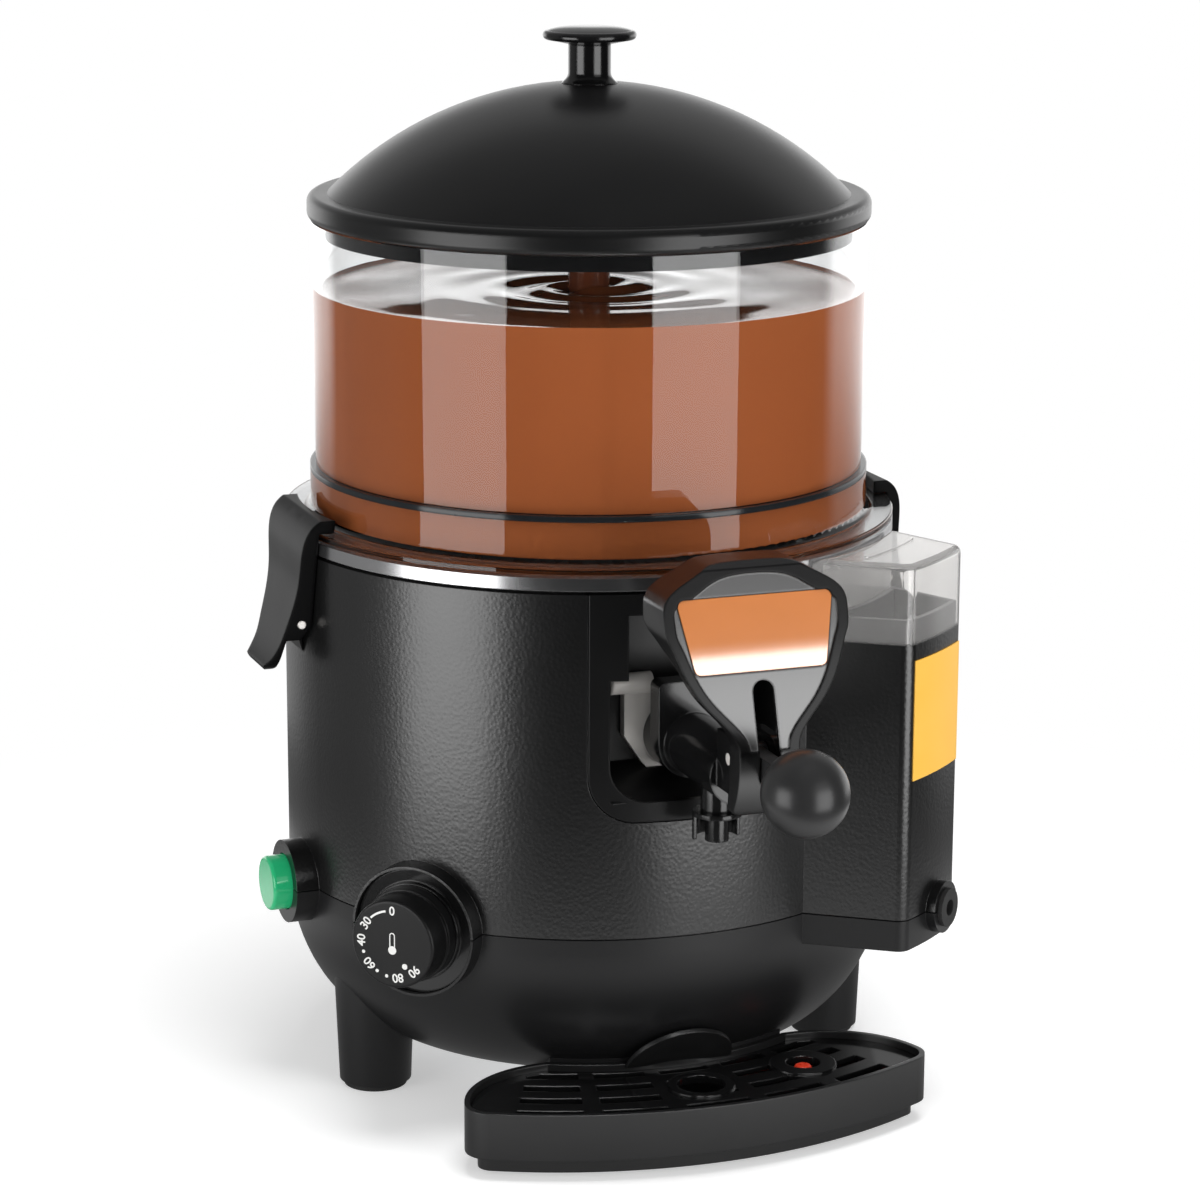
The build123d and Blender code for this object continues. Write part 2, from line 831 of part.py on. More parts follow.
# Upper shell: round wall with the side column, its filler well and the upper half of each boss
with BuildPart() as upper_shell:
    body_blank()
    split(bisect_by=Plane.XY.offset(seam_z), keep=Keep.TOP)
    ring(seam_z, 2 * body_radius, body_radius - seam_groove, seam_gap, Mode.SUBTRACT)
    ring(body_top_z - shell_wall, body_radius, body_radius - top_lip_width, shell_wall)
    extrude(cap_outline(column_top_z, cover_wall + slide_gap), amount=well_rim_z - column_top_z)
    well = cap_outline(well_floor_z, cover_wall + slide_gap + well_rim_wall)
    extrude(well, amount=well_rim_z - well_floor_z, mode=Mode.SUBTRACT)
    reach_in = pocket_floor - 2 * pocket_wall
    extrude(panel_outline(reach_in, 0.0), amount=body_radius, mode=Mode.SUBTRACT)
upper_shell.part.label = "upper_shell"
export_step(upper_shell.part, "parts/upper_shell.step")

# Tap panel: flush plate in the front of the wall, with the pocket that the tap stands in
with BuildPart() as tap_panel:
    ring(panel_bottom_z, body_radius, body_radius - shell_wall, body_top_z - panel_bottom_z)
    box_back = pocket_floor - pocket_wall
    extrude(pocket_outline(box_back, pocket_wall), amount=body_radius - box_back)
    extrude(panel_outline(box_back, panel_gap), amount=body_radius, mode=Mode.INTERSECT)
    disc(Plane.XY, body_radius, body_top_z, Mode.INTERSECT)
    extrude(pocket_outline(pocket_floor, 0.0), amount=body_radius, mode=Mode.SUBTRACT)
    with BuildSketch(side_plane(0.0)):
        with BuildLine():
            Polyline(
                (pocket_floor, pocket_ramp_z),
                (pocket_floor, pocket_bottom_z),
                (body_radius - shell_wall, pocket_bottom_z),
                close=True,
            )
        make_face()
    extrude(amount=pocket_half_width, both=True)
    lock_room = lock_thickness + 2 * slide_gap
    disc(front_plane(pocket_floor, tap_z), lock_ring_radius + slide_gap, lock_room, Mode.SUBTRACT)
    disc(front_plane(pocket_floor, tap_z), housing_radius + slide_gap, body_radius, Mode.SUBTRACT)
    disc(front_plane(box_back, tap_z), spigot_radius + seat_gap, 2 * pocket_wall, Mode.SUBTRACT)
tap_panel.part.label = "tap_panel"
export_step(tap_panel.part, "parts/tap_panel.step")

# Base plate: round cover under the dish, held by screws
with BuildPart() as base_plate:
    disc(Plane.XY.offset(dish_floor_z - base_plate_thickness), base_plate_radius, base_plate_thickness)
    for angle in screw_angles:
        hole = Plane(origin=spot(angle, base_screw_ring, 0.0))
        disc(hole, base_screw_radius, dish_floor_z, Mode.SUBTRACT)
base_plate.part.label = "base_plate"
export_step(base_plate.part, "parts/base_plate.step")

with BuildPart() as base_screws:
    for angle in screw_angles:
        seat = dish_floor_z - base_plate_thickness
        head = Plane(origin=spot(angle, base_screw_ring, seat - base_screw_head_height))
        disc(head, base_screw_head_radius, base_screw_head_height)
        shank = Plane(origin=spot(angle, base_screw_ring, seat))
        disc(shank, base_screw_radius - pin_gap, base_plate_thickness + 2 * shell_wall)
base_screws.part.label = "base_screws"
export_step(base_screws.part, "parts/base_screws.step")

# Clear cover over the filler well, with a raised arc on its top
with BuildPart() as filler_cover:
    extrude(cap_outline(column_top_z, 0.0), amount=cover_top_z - column_top_z)
    fillet(filler_cover.faces().sort_by(Axis.Z)[-1].outer_wire().edges(), cover_edge)
    inside = cap_outline(column_top_z, cover_wall)
    extrude(inside, amount=cover_top_z - cover_wall - column_top_z, mode=Mode.SUBTRACT)
    with BuildSketch(plan_plane(column_angle, cover_top_z)) as ridge:
        half_turn = degrees(asin(column_tip_half / column_tip_radius))
        with BuildLine():
            CenterArc((0, 0), cover_ridge_radius, -half_turn, 2 * half_turn)
        trace(line_width=cover_ridge_width)
    extrude(amount=cover_ridge_height)
filler_cover.part.label = "filler_cover"
export_step(filler_cover.part, "parts/filler_cover.step")

# Plain coloured panel on the tip of the column
with BuildPart() as side_label:
    with BuildSketch(plan_plane(column_angle, label_low_z)) as label_plan:
        half_turn = degrees(asin(label_width / 2 / column_tip_radius))
        with BuildLine():
            middle = column_tip_radius + pin_gap + label_thickness / 2
            CenterArc((0, 0), middle, -half_turn, 2 * half_turn)
        trace(line_width=label_thickness)
    extrude(amount=label_high_z - label_low_z)
side_label.part.label = "side_label"
export_step(side_label.part, "parts/side_label.step")

# Cord gland: rubber bush in the split boss at the foot of the column
with BuildPart() as cord_gland:
    boss_face = column_tip_radius + gland_boss_reach
    disc(face_plane(gland_angle, boss_face, seam_z), gland_radius, gland_flange)
    plug_length = gland_boss_reach + shell_wall
    disc(face_plane(gland_angle, boss_face - plug_length, seam_z), gland_plug_radius, plug_length)
    bore = face_plane(gland_angle, boss_face - plug_length, seam_z)
    disc(bore, gland_bore_radius, plug_length + gland_flange, Mode.SUBTRACT)
cord_gland.part.label = "cord_gland"
export_step(cord_gland.part, "parts/cord_gland.step")

# Thermostat: body behind the wall, stepped bezel in the boss, knob on its shaft
with BuildPart() as thermostat_body:
    with BuildSketch(dial_plane(thermostat_back)):
        RectangleRounded(thermostat_size, thermostat_size, dial_edge)
    extrude(amount=thermostat_depth)
    neck = dial_plane(thermostat_back + thermostat_depth)
    neck_length = dial_recess_floor - thermostat_back - thermostat_depth
    disc(neck, thermostat_neck_radius, neck_length)
    shaft_hole = dial_plane(thermostat_back + thermostat_depth)
    disc(shaft_hole, dial_shaft_radius + pin_gap, neck_length, Mode.SUBTRACT)
thermostat_body.part.label = "thermostat_body"
export_step(thermostat_body.part, "parts/thermostat_body.step")

with BuildPart() as thermostat_bezel:
    bezel_root = dial_plane(dial_recess_floor)
    bezel_height = bezel_face - dial_recess_floor
    disc(bezel_root, dial_recess_radius - seat_gap, bezel_height - bezel_step)
    disc(bezel_root, bezel_step_radius, bezel_height)
    disc(bezel_root, thermostat_neck_radius + seat_gap, bezel_height, Mode.SUBTRACT)
thermostat_bezel.part.label = "thermostat_bezel"
export_step(thermostat_bezel.part, "parts/thermostat_bezel.step")

with BuildPart() as thermostat_knob:
    skirt_root = bezel_face + seat_gap
    disc(dial_plane(skirt_root), dial_skirt_radius, dial_skirt_height)
    disc(dial_plane(skirt_root), dial_radius, dial_face - skirt_root)
    rim = thermostat_knob.edges().filter_by(GeomType.CIRCLE)
    face_edge = rim.sort_by(Axis(origin=(0, 0, seam_z), direction=outward(dial_angle)))[-1]
    fillet(face_edge, dial_edge)
    shaft_root = thermostat_back + thermostat_depth + seat_gap
    disc(dial_plane(shaft_root), dial_shaft_radius, skirt_root - shaft_root)
thermostat_knob.part.label = "thermostat_knob"
export_step(thermostat_knob.part, "parts/thermostat_knob.step")

# Switch: body behind the wall and a lit push button
with BuildPart() as switch_body:
    with BuildSketch(face_plane(switch_angle, thermostat_back, seam_z)):
        RectangleRounded(switch_size, switch_size, button_edge)
    extrude(amount=switch_depth)
    collar_root = face_plane(switch_angle, thermostat_back + switch_depth, seam_z)
    collar_height = body_radius - thermostat_back - switch_depth
    disc(collar_root, button_radius + slide_gap - seat_gap, collar_height)
    disc(collar_root, button_radius / 2, collar_height, Mode.SUBTRACT)
switch_body.part.label = "switch_body"
export_step(switch_body.part, "parts/switch_body.step")

with BuildPart() as switch_button:
    button_back = body_radius + button_travel + seat_gap
    disc(face_plane(switch_angle, button_back, seam_z), button_radius, button_face - button_back)
    rim = switch_button.edges().filter_by(GeomType.CIRCLE)
    face_edge = rim.sort_by(Axis(origin=(0, 0, seam_z), direction=outward(switch_angle)))[-1]
    fillet(face_edge, button_edge)
    plunger_root = thermostat_back + switch_depth + button_travel + seat_gap
    plunger = face_plane(switch_angle, plunger_root, seam_z)
    disc(plunger, button_radius / 2 - pin_gap, button_back - plunger_root)
switch_button.part.label = "switch_button"
export_step(switch_button.part, "parts/switch_button.step")

# Product pot: steel, with a wide flange whose edge is turned down into the bright rim
with BuildPart() as product_pot:
    with BuildSketch(Plane.XZ):
        with BuildLine():
            Polyline(
                (tube_radius + seat_gap, pot_floor_z),
                (pot_radius + sheet, pot_floor_z),
                (pot_radius + sheet, rim_z - sheet),
                (body_radius - sheet, rim_z - sheet),
                (body_radius - sheet, rim_z - rim_height),
                (body_radius, rim_z - rim_height),
                (body_radius, rim_z),
                (pot_radius, rim_z),
                (pot_radius, pot_floor_z + sheet),
                (tube_radius + seat_gap, pot_floor_z + sheet),
                close=True,
            )
        make_face()
    revolve(axis=Axis.Z)
    hole_start = front_plane(pot_radius - 2 * sheet, tap_z)
    disc(hole_start, spigot_radius + seat_gap, 2 * shell_wall, Mode.SUBTRACT)
product_pot.part.label = "product_pot"
export_step(product_pot.part, "parts/product_pot.step")

# Seal: rubber ring between the upper shell's lip and the pot's flange
with BuildPart() as pot_seal:
    ring(body_top_z, seal_inner_radius + seal_width, seal_inner_radius, rim_z - sheet - body_top_z)
pot_seal.part.label = "pot_seal"
export_step(pot_seal.part, "parts/pot_seal.step")

# Water jacket: outer steel vessel that hangs under the upper shell's lip
with BuildPart() as water_jacket:
    jacket_top_z = body_top_z - shell_wall
    with BuildSketch(Plane.XZ):
        with BuildLine():
            Polyline(
                (tube_radius + seat_gap, jacket_floor_z),
                (jacket_radius + sheet, jacket_floor_z),
                (jacket_radius + sheet, jacket_top_z - sheet),
                (jacket_radius + jacket_flange_width, jacket_top_z - sheet),
                (jacket_radius + jacket_flange_width, jacket_top_z),
                (jacket_radius, jacket_top_z),
                (jacket_radius, jacket_floor_z + sheet),
                (tube_radius + seat_gap, jacket_floor_z + sheet),
                close=True,
            )
        make_face()
    revolve(axis=Axis.Z)
    hole_start = front_plane(jacket_radius - 2 * sheet, tap_z)
    disc(hole_start, spigot_radius + seat_gap, 2 * shell_wall, Mode.SUBTRACT)
    for angle in heater_leg_angles:
        leg = Plane(origin=spot(angle, heater_ring_radius, jacket_floor_z))
        disc(leg, heater_leg_radius + seat_gap, sheet, Mode.SUBTRACT)
water_jacket.part.label = "water_jacket"
export_step(water_jacket.part, "parts/water_jacket.step")

# Heating element: open ring in the water, whose ends turn down through the jacket's floor
with BuildPart() as heating_element:
    heater_z = (jacket_floor_z + sheet + pot_floor_z) / 2
    ring_turn = 360.0 - heater_leg_angles[1] + heater_leg_angles[0]
    first_leg = spot(heater_leg_angles[1], heater_ring_radius, heater_z)
    with BuildSketch(Plane(origin=first_leg, z_dir=sideways(heater_leg_angles[1]))):
        Circle(heater_tube_radius)
    revolve(axis=Axis.Z, revolution_arc=ring_turn)
    for angle in heater_leg_angles:
        with Locations(spot(angle, heater_ring_radius, heater_z)):
            Sphere(heater_tube_radius)
        leg = Plane(origin=spot(angle, heater_ring_radius, heater_z - heater_leg_drop))
        disc(leg, heater_leg_radius, heater_leg_drop)
heating_element.part.label = "heating_element"
export_step(heating_element.part, "parts/heating_element.step")

# Gearbox and motor under the jacket
with BuildPart() as gearbox:
    with BuildSketch(Plane.XY.offset(jacket_floor_z - gearbox_height)):
        with Locations((motor_offset, 0)):
            RectangleRounded(gearbox_length, gearbox_width, gearbox_edge)
    extrude(amount=gearbox_height)
    shaft_hole = Plane.XY.offset(jacket_floor_z - gearbox_height / 2)
    disc(shaft_hole, shaft_radius + pin_gap, gearbox_height, Mode.SUBTRACT)
gearbox.part.label = "gearbox"
export_step(gearbox.part, "parts/gearbox.step")

with BuildPart() as motor:
    motor_top_z = jacket_floor_z - gearbox_height
    disc(Plane(origin=(2 * motor_offset, 0, motor_top_z - motor_length)), motor_radius, motor_length)
motor.part.label = "motor"
export_step(motor.part, "parts/motor.step")

# Shaft tube: stands on the jacket's floor and rises through the pot
with BuildPart() as shaft_tube:
    tube_base_z = jacket_floor_z + sheet
    disc(Plane.XY.offset(tube_base_z), tube_radius, tube_top_z - tube_base_z)
    disc(Plane.XY.offset(tube_base_z), tube_foot_radius, tube_foot_height)
    disc(Plane.XY.offset(tube_base_z), tube_bore_radius, tube_top_z, Mode.SUBTRACT)
shaft_tube.part.label = "shaft_tube"
export_step(shaft_tube.part, "parts/shaft_tube.step")

with BuildPart() as drive_shaft:
    shaft_base_z = jacket_floor_z - gearbox_height / 2 + seat_gap
    disc(Plane.XY.offset(shaft_base_z), shaft_radius, shaft_top_z - shaft_base_z)
drive_shaft.part.label = "drive_shaft"
export_step(drive_shaft.part, "parts/drive_shaft.step")

# Stirrer: sleeve over the tube, capped on the shaft, with tilted paddles and scrapers at its foot
with BuildPart() as stirrer:
    stirrer_base_z = pot_floor_z + sheet + stirrer_lift
    sleeve_height = shaft_top_z + column_cap_height - stirrer_base_z
    disc(Plane.XY.offset(stirrer_base_z), column_outer_radius, sleeve_height)
    disc(Plane.XY.offset(stirrer_base_z), hub_radius, hub_height)
    with Locations((0, 0, stirrer_base_z)):
        Box(2 * arm_reach, arm_width, arm_height, align=(Align.CENTER, Align.CENTER, Align.MIN))
    for side in (-1, 1):
        with Locations((side * arm_reach, 0, stirrer_base_z)):
            Box(
                scraper_thickness,
                blade_width,
                scraper_height,
                align=(Align.CENTER, Align.CENTER, Align.MIN),
            )
        blade_middle = (side * (hub_radius + arm_reach) / 2, 0, stirrer_base_z + arm_height / 2)
        with Locations(Location(blade_middle, (side * blade_tilt, 0, 0))):
            Box(arm_reach - 3 * hub_radius, blade_thickness, blade_width)
    ground = Plane.XY.offset(stirrer_base_z - blade_width)
    disc(ground, arm_reach + hub_radius, blade_width, Mode.SUBTRACT)
    bore_height = tube_top_z + slide_gap - stirrer_base_z
    disc(Plane.XY.offset(stirrer_base_z), tube_radius + seat_gap, bore_height, Mode.SUBTRACT)
    grip_height = shaft_top_z - stirrer_base_z
    disc(Plane.XY.offset(stirrer_base_z), shaft_radius + pin_gap, grip_height, Mode.SUBTRACT)
    crown = stirrer.edges().filter_by(GeomType.CIRCLE).sort_by(Axis.Z)[-1]
    fillet(crown, column_outer_radius / 3)
stirrer.part.label = "stirrer"
export_step(stirrer.part, "parts/stirrer.step")

# Gasket, clear collar, seam ring and clear bowl
with BuildPart() as bowl_gasket:
    ring(rim_z, collar_radius, flange_inner_radius, gasket_thickness)
bowl_gasket.part.label = "bowl_gasket"
export_step(bowl_gasket.part, "parts/bowl_gasket.step")

with BuildPart() as bowl_collar:
    with BuildSketch(Plane.XZ) as collar_section:
        with BuildLine():
            Polyline(
                (flange_inner_radius, collar_bottom_z),
                (body_radius, collar_bottom_z),
                (body_radius, flange_top_z),
                (collar_radius, flange_top_z),
                (collar_radius, collar_top_z),
                (collar_radius - collar_wall, collar_top_z),
                (collar_radius - collar_wall, flange_top_z),
                (flange_inner_radius, flange_top_z),
                close=True,
            )
        make_face()
        outer_step = collar_section.vertices().filter_by_position(Axis.Y, flange_top_z, flange_top_z)
        fillet(outer_step.filter_by_position(Axis.X, collar_radius, collar_radius), collar_fillet)
        flange_edge = collar_section.vertices().group_by(Axis.X)[-1]
        fillet(flange_edge, flange_thickness / 4)
    revolve(axis=Axis.Z)
bowl_collar.part.label = "bowl_collar"
export_step(bowl_collar.part, "parts/bowl_collar.step")

with BuildPart() as seam_ring:
    ring(collar_top_z, collar_radius, collar_radius - collar_wall, seam_ring_height)
seam_ring.part.label = "seam_ring"
export_step(seam_ring.part, "parts/seam_ring.step")

with BuildPart() as bowl:
    with BuildSketch(Plane.XZ):
        with BuildLine():
            Polyline(
                (bowl_radius - bowl_wall, bowl_bottom_z),
                (bowl_radius, bowl_bottom_z),
                (bowl_radius + bowl_flare, bowl_top_z),
                (bowl_radius + bowl_flare - bowl_wall, bowl_top_z),
                close=True,
            )
        make_face()
    revolve(axis=Axis.Z)
bowl.part.label = "bowl"
export_step(bowl.part, "parts/bowl.step")

# Lid: domed cover with a rolled rim and a skirt inside the bowl
with BuildPart() as lid_dome:
    dome_centre_z = dome_top_z - dome_radius
    inner_radius = dome_radius - lid_wall
    inner_foot = lid_skirt_radius - lid_wall
    inner_foot_z = dome_centre_z + sqrt(inner_radius**2 - inner_foot**2)
    seat_under_z = dome_centre_z + sqrt(inner_radius**2 - knob_seat_radius**2)
    half_foot = dome_foot_radius / 2
    with BuildSketch(Plane.XZ) as lid_section:
        with BuildLine():
            seat = Line((knob_screw_radius, knob_seat_z), (knob_seat_radius, knob_seat_z))
            dome_middle = (half_foot, dome_centre_z + sqrt(dome_radius**2 - half_foot**2))
            dome = ThreePointArc(seat @ 1, dome_middle, (dome_foot_radius, lid_rim_top_z))
            ledge = Line(dome @ 1, (collar_radius, lid_rim_top_z))
            edge = Line(ledge @ 1, (collar_radius, bowl_top_z))
            under = Line(edge @ 1, (lid_skirt_radius, bowl_top_z))
            skirt = Line(under @ 1, (lid_skirt_radius, bowl_top_z - lid_skirt_drop))
            skirt_foot = Line(skirt @ 1, (inner_foot, bowl_top_z - lid_skirt_drop))
            skirt_inside = Line(skirt_foot @ 1, (inner_foot, inner_foot_z))
            inner_middle = (half_foot, dome_centre_z + sqrt(inner_radius**2 - half_foot**2))
            inside = ThreePointArc(skirt_inside @ 1, inner_middle, (knob_seat_radius, seat_under_z))
            boss = Line(inside @ 1, (knob_screw_radius, seat_under_z))
            Line(boss @ 1, seat @ 0)
        make_face()
        rim_corners = lid_section.vertices().group_by(Axis.X)[-1]
        fillet(rim_corners, lid_rim_edge)
    revolve(axis=Axis.Z)
lid_dome.part.label = "lid_dome"
export_step(lid_dome.part, "parts/lid_dome.step")

with BuildPart() as lid_knob:
    disc_low_z = knob_top_z - knob_disc_height
    knob_edge_radius = knob_radius - knob_edge
    knob_edge_low_z = disc_low_z + knob_edge
    knob_edge_high_z = knob_top_z - knob_edge
    knob_edge_z = (knob_edge_low_z + knob_edge_high_z) / 2
    with BuildSketch(Plane.XZ) as knob_section:
        with BuildLine():
            foot = Line((0, knob_seat_z), (knob_foot_radius, knob_seat_z))
            flare = Spline(
                foot @ 1,
                (knob_stem_radius, knob_seat_z + knob_foot_height),
                tangents=((-1, 1), (0, 1)),
            )
            stem = Line(flare @ 1, (knob_stem_radius, disc_low_z))
            under = Line(stem @ 1, (knob_edge_radius, knob_edge_low_z))
            brim = (knob_radius, knob_edge_z)
            edge = ThreePointArc(under @ 1, brim, (knob_edge_radius, knob_edge_high_z))
            top = Spline(edge @ 1, (0, knob_top_z), tangents=((-1, knob_crown_slope), (-1, 0)))
            Line(top @ 1, foot @ 0)
        make_face()
    revolve(axis=Axis.Z)
    screw_hole = Plane.XY.offset(knob_seat_z)
    disc(screw_hole, knob_screw_radius, knob_screw_length - lid_wall, Mode.SUBTRACT)
lid_knob.part.label = "lid_knob"
export_step(lid_knob.part, "parts/lid_knob.step")

with BuildPart() as knob_screw:
    disc(Plane.XY.offset(seat_under_z), knob_screw_radius - pin_gap, knob_screw_length - lid_wall)
    head_plane = Plane.XY.offset(seat_under_z - knob_screw_head_height)
    disc(head_plane, knob_screw_head_radius, knob_screw_head_height)
knob_screw.part.label = "knob_screw"
export_step(knob_screw.part, "parts/knob_screw.step")

# Tap body: spigot into the pot, barrel, block in front of the lock, nozzle boss and yoke
with BuildPart() as tap_body:
    spigot_start = pot_radius - 2 * sheet
    disc(front_plane(spigot_start, tap_z), spigot_radius, pocket_floor - spigot_start)
    disc(front_plane(pocket_floor, tap_z), barrel_radius, barrel_front - pocket_floor)
    housing_start = pocket_floor + lock_thickness + 2 * seat_gap
    disc(front_plane(housing_start, tap_z), housing_radius, housing_front - housing_start)
    with BuildSketch(front_plane(housing_front - tap_block_depth, tap_z)) as block:
        Rectangle(2 * tap_block_half_width, tap_block_rise, align=(Align.CENTER, Align.MIN))
        fillet(block.vertices().group_by(Axis.Y)[-1], tap_block_edge)
    extrude(amount=tap_block_depth)
    disc(nozzle_plane(nozzle_boss_z), nozzle_boss_radius, tap_z - nozzle_boss_z)
    yoke_outer_half = cowl_neck_half - cowl_wall - seat_gap
    with BuildSketch(side_plane(0.0)) as cheek:
        with Locations((barrel_front, yoke_low_z)):
            Rectangle(
                yoke_front - barrel_front,
                yoke_high_z - yoke_low_z,
                align=(Align.MIN, Align.MIN),
            )
        fillet(cheek.vertices().group_by(Axis.X)[-1], yoke_corner)
    extrude(amount=yoke_outer_half, both=True)
    with Locations((0, -barrel_front, yoke_low_z)):
        Box(
            2 * yoke_inner_half,
            yoke_front - barrel_front,
            yoke_high_z - yoke_low_z,
            align=(Align.CENTER, Align.MAX, Align.MIN),
            mode=Mode.SUBTRACT,
        )
    bore_end = barrel_front - tap_cap_thickness
    disc(front_plane(spigot_start, tap_z), tap_bore_radius, bore_end - spigot_start, Mode.SUBTRACT)
    disc(front_plane(bore_end, tap_z), rod_radius + pin_gap, tap_cap_thickness, Mode.SUBTRACT)
    disc(nozzle_plane(nozzle_boss_z), nozzle_bore_radius, tap_z - nozzle_boss_z, Mode.SUBTRACT)
    disc(lever_pin_plane, pivot_radius + pin_gap, 2 * barrel_radius, Mode.SUBTRACT)
tap_body.part.label = "tap_body"
export_step(tap_body.part, "parts/tap_body.step")

# Seal ring between the panel's floor and the pot, round the spigot
with BuildPart() as tap_seal:
    seal_start = pot_radius + sheet + seat_gap
    disc(front_plane(seal_start, tap_z), spigot_radius + tap_seal_width, tap_seal_width)
    disc(front_plane(seal_start, tap_z), spigot_radius + pin_gap, tap_seal_width, Mode.SUBTRACT)
tap_seal.part.label = "tap_seal"
export_step(tap_seal.part, "parts/tap_seal.step")

# Lock: bright ring round the barrel with an arm and a handle
with BuildPart() as tap_lock:
    lock_start = pocket_floor + seat_gap
    heel_turn = radians(lock_arm_angle)
    lock_heel = (-lock_ring_radius * sin(heel_turn), -lock_ring_radius * cos(heel_turn))
    disc(front_plane(lock_start, tap_z), lock_ring_radius, lock_thickness)
    with BuildSketch(front_plane(lock_start, tap_z)):
        with BuildLine():
            Polyline(
                (0, 0),
                (-lock_handle_inner, lock_handle_rise),
                (-lock_arm_reach, lock_handle_rise),
                (-lock_arm_reach, 0),
                lock_heel,
                close=True,
            )
        make_face()
    extrude(amount=lock_thickness)
    handle_plane = Plane(
        origin=(-lock_handle_inner, -lock_start - lock_handle_radius, tap_z + lock_handle_rise),
        z_dir=(-1, 0, 0),
    )
    disc(handle_plane, lock_handle_radius, lock_handle_length)
    fillet(tap_lock.faces().sort_by(Axis.X)[0].edges(), lock_handle_edge)
    disc(front_plane(lock_start, tap_z), barrel_radius + seat_gap, lock_thickness, Mode.SUBTRACT)
tap_lock.part.label = "tap_lock"
export_step(tap_lock.part, "parts/tap_lock.step")

# Nozzle: short spout with a half shroud on the side of the body
with BuildPart() as nozzle:
    disc(nozzle_plane(nozzle_boss_z - shroud_disc), shroud_radius, shroud_disc)
    disc(nozzle_plane(spout_z), spout_radius, nozzle_boss_z - spout_z)
    with BuildSketch(nozzle_plane(shroud_low_z)):
        Circle(shroud_radius)
        Circle(shroud_radius - shroud_wall, mode=Mode.SUBTRACT)
        with Locations((0, -shroud_radius)):
            Rectangle(4 * shroud_radius, 2 * shroud_radius, mode=Mode.SUBTRACT)
    extrude(amount=nozzle_boss_z - shroud_low_z)
    disc(nozzle_plane(spout_z), spout_radius - spout_wall, nozzle_boss_z - spout_z, Mode.SUBTRACT)
nozzle.part.label = "nozzle"
export_step(nozzle.part, "parts/nozzle.step")

# Piston: land that closes the nozzle's hole, rod, and slotted tail that the lever pulls
with BuildPart() as tap_piston:
    land_start = nozzle_reach - piston_land / 2
    land_radius = tap_bore_radius - piston_gap
    rod_start = land_start + piston_land
    tail_start = tooth_reach - tail_length / 2
    groove = front_plane(rod_start - 2 * ring_wire, tap_z)
    disc(front_plane(land_start, tap_z), land_radius, piston_land)
    disc(groove, land_radius, ring_wire, Mode.SUBTRACT)
    disc(groove, ring_groove_radius, ring_wire)
    disc(front_plane(rod_start, tap_z), rod_radius, tail_start - rod_start)
    with BuildSketch(side_plane(0.0)):
        with Locations((tail_start, tap_z - tail_below)):
            Rectangle(tail_length, tail_below + tail_above, align=(Align.MIN, Align.MIN))
        with Locations((tooth_reach, tap_z - tail_below + tail_floor)):
            Rectangle(
                2 * (tooth_radius + seat_gap),
                tail_below + tail_above,
                align=(Align.CENTER, Align.MIN),
                mode=Mode.SUBTRACT,
            )
    extrude(amount=tail_half_width, both=True)
tap_piston.part.label = "tap_piston"
export_step(tap_piston.part, "parts/tap_piston.step")

with BuildPart() as piston_ring:
    disc(groove, land_radius, ring_wire)
    disc(groove, ring_groove_radius + pin_gap, ring_wire, Mode.SUBTRACT)
piston_ring.part.label = "piston_ring"
export_step(piston_ring.part, "parts/piston_ring.step")

# Piston spring: coil round the rod, between the land and the barrel's cap
with BuildPart() as piston_spring:
    coil_start = rod_start + spring_wire / 2 + pin_gap
    coil_height = bore_end - pin_gap - spring_wire / 2 - coil_start
    with BuildLine() as coil:
        Helix(
            coil_height / spring_turns,
            coil_height,
            spring_radius,
            center=(0, -coil_start, tap_z),
            direction=(0, -1, 0),
        )
    with BuildSketch(Plane(origin=coil.line @ 0, z_dir=coil.line % 0)):
        Circle(spring_wire / 2)
    sweep(is_frenet=True)
    steps = spring_turns * spring_points
    points = [coil.line @ (step / steps) for step in range(steps + 1)]
    half_turn = spring_points // 2
    apart = [(far - near).length for at, near in enumerate(points) for far in points[at + half_turn :]]
    print("piston_spring: least gap between its turns", round(min(apart) - spring_wire, 3), "mm")
piston_spring.part.label = "piston_spring"
export_step(piston_spring.part, "parts/piston_spring.step")

# Lever: hub on its pin, tooth that pulls the piston, blade through the slot, stem and ball
with BuildPart() as tap_lever:
    with BuildSketch(side_plane(0.0)):
        with Locations((pivot_reach, pivot_z - lever_half_height)):
            Rectangle(ball_reach - pivot_reach, 2 * lever_half_height, align=(Align.MIN, Align.MIN))
        with BuildLine():
            Line((pivot_reach, pivot_z), (tooth_reach, tooth_tip_z))
        trace(line_width=tooth_neck)
        with Locations((tooth_reach, tooth_tip_z)):
            Circle(tooth_radius)
    extrude(amount=lever_half_thickness, both=True)
    hub_plane = Plane(origin=(-lever_hub_half, -pivot_reach, pivot_z), z_dir=(1, 0, 0))
    disc(hub_plane, lever_hub_radius, 2 * lever_hub_half)
    disc(front_plane(stem_start, pivot_z), stem_radius, ball_reach - stem_start)
    with Locations((0, -ball_reach, pivot_z)):
        Sphere(ball_radius)
    disc(lever_pin_plane, pivot_radius + pin_gap, 2 * barrel_radius, Mode.SUBTRACT)
tap_lever.part.label = "tap_lever"
export_step(tap_lever.part, "parts/tap_lever.step")

with BuildPart() as lever_pin:
    disc(lever_pin_plane, pivot_radius, 2 * barrel_radius)
    with Locations((0, -pivot_reach, pivot_z)):
        Box(2 * yoke_outer_half, barrel_radius, barrel_radius, mode=Mode.INTERSECT)
lever_pin.part.label = "lever_pin"
export_step(lever_pin.part, "parts/lever_pin.step")

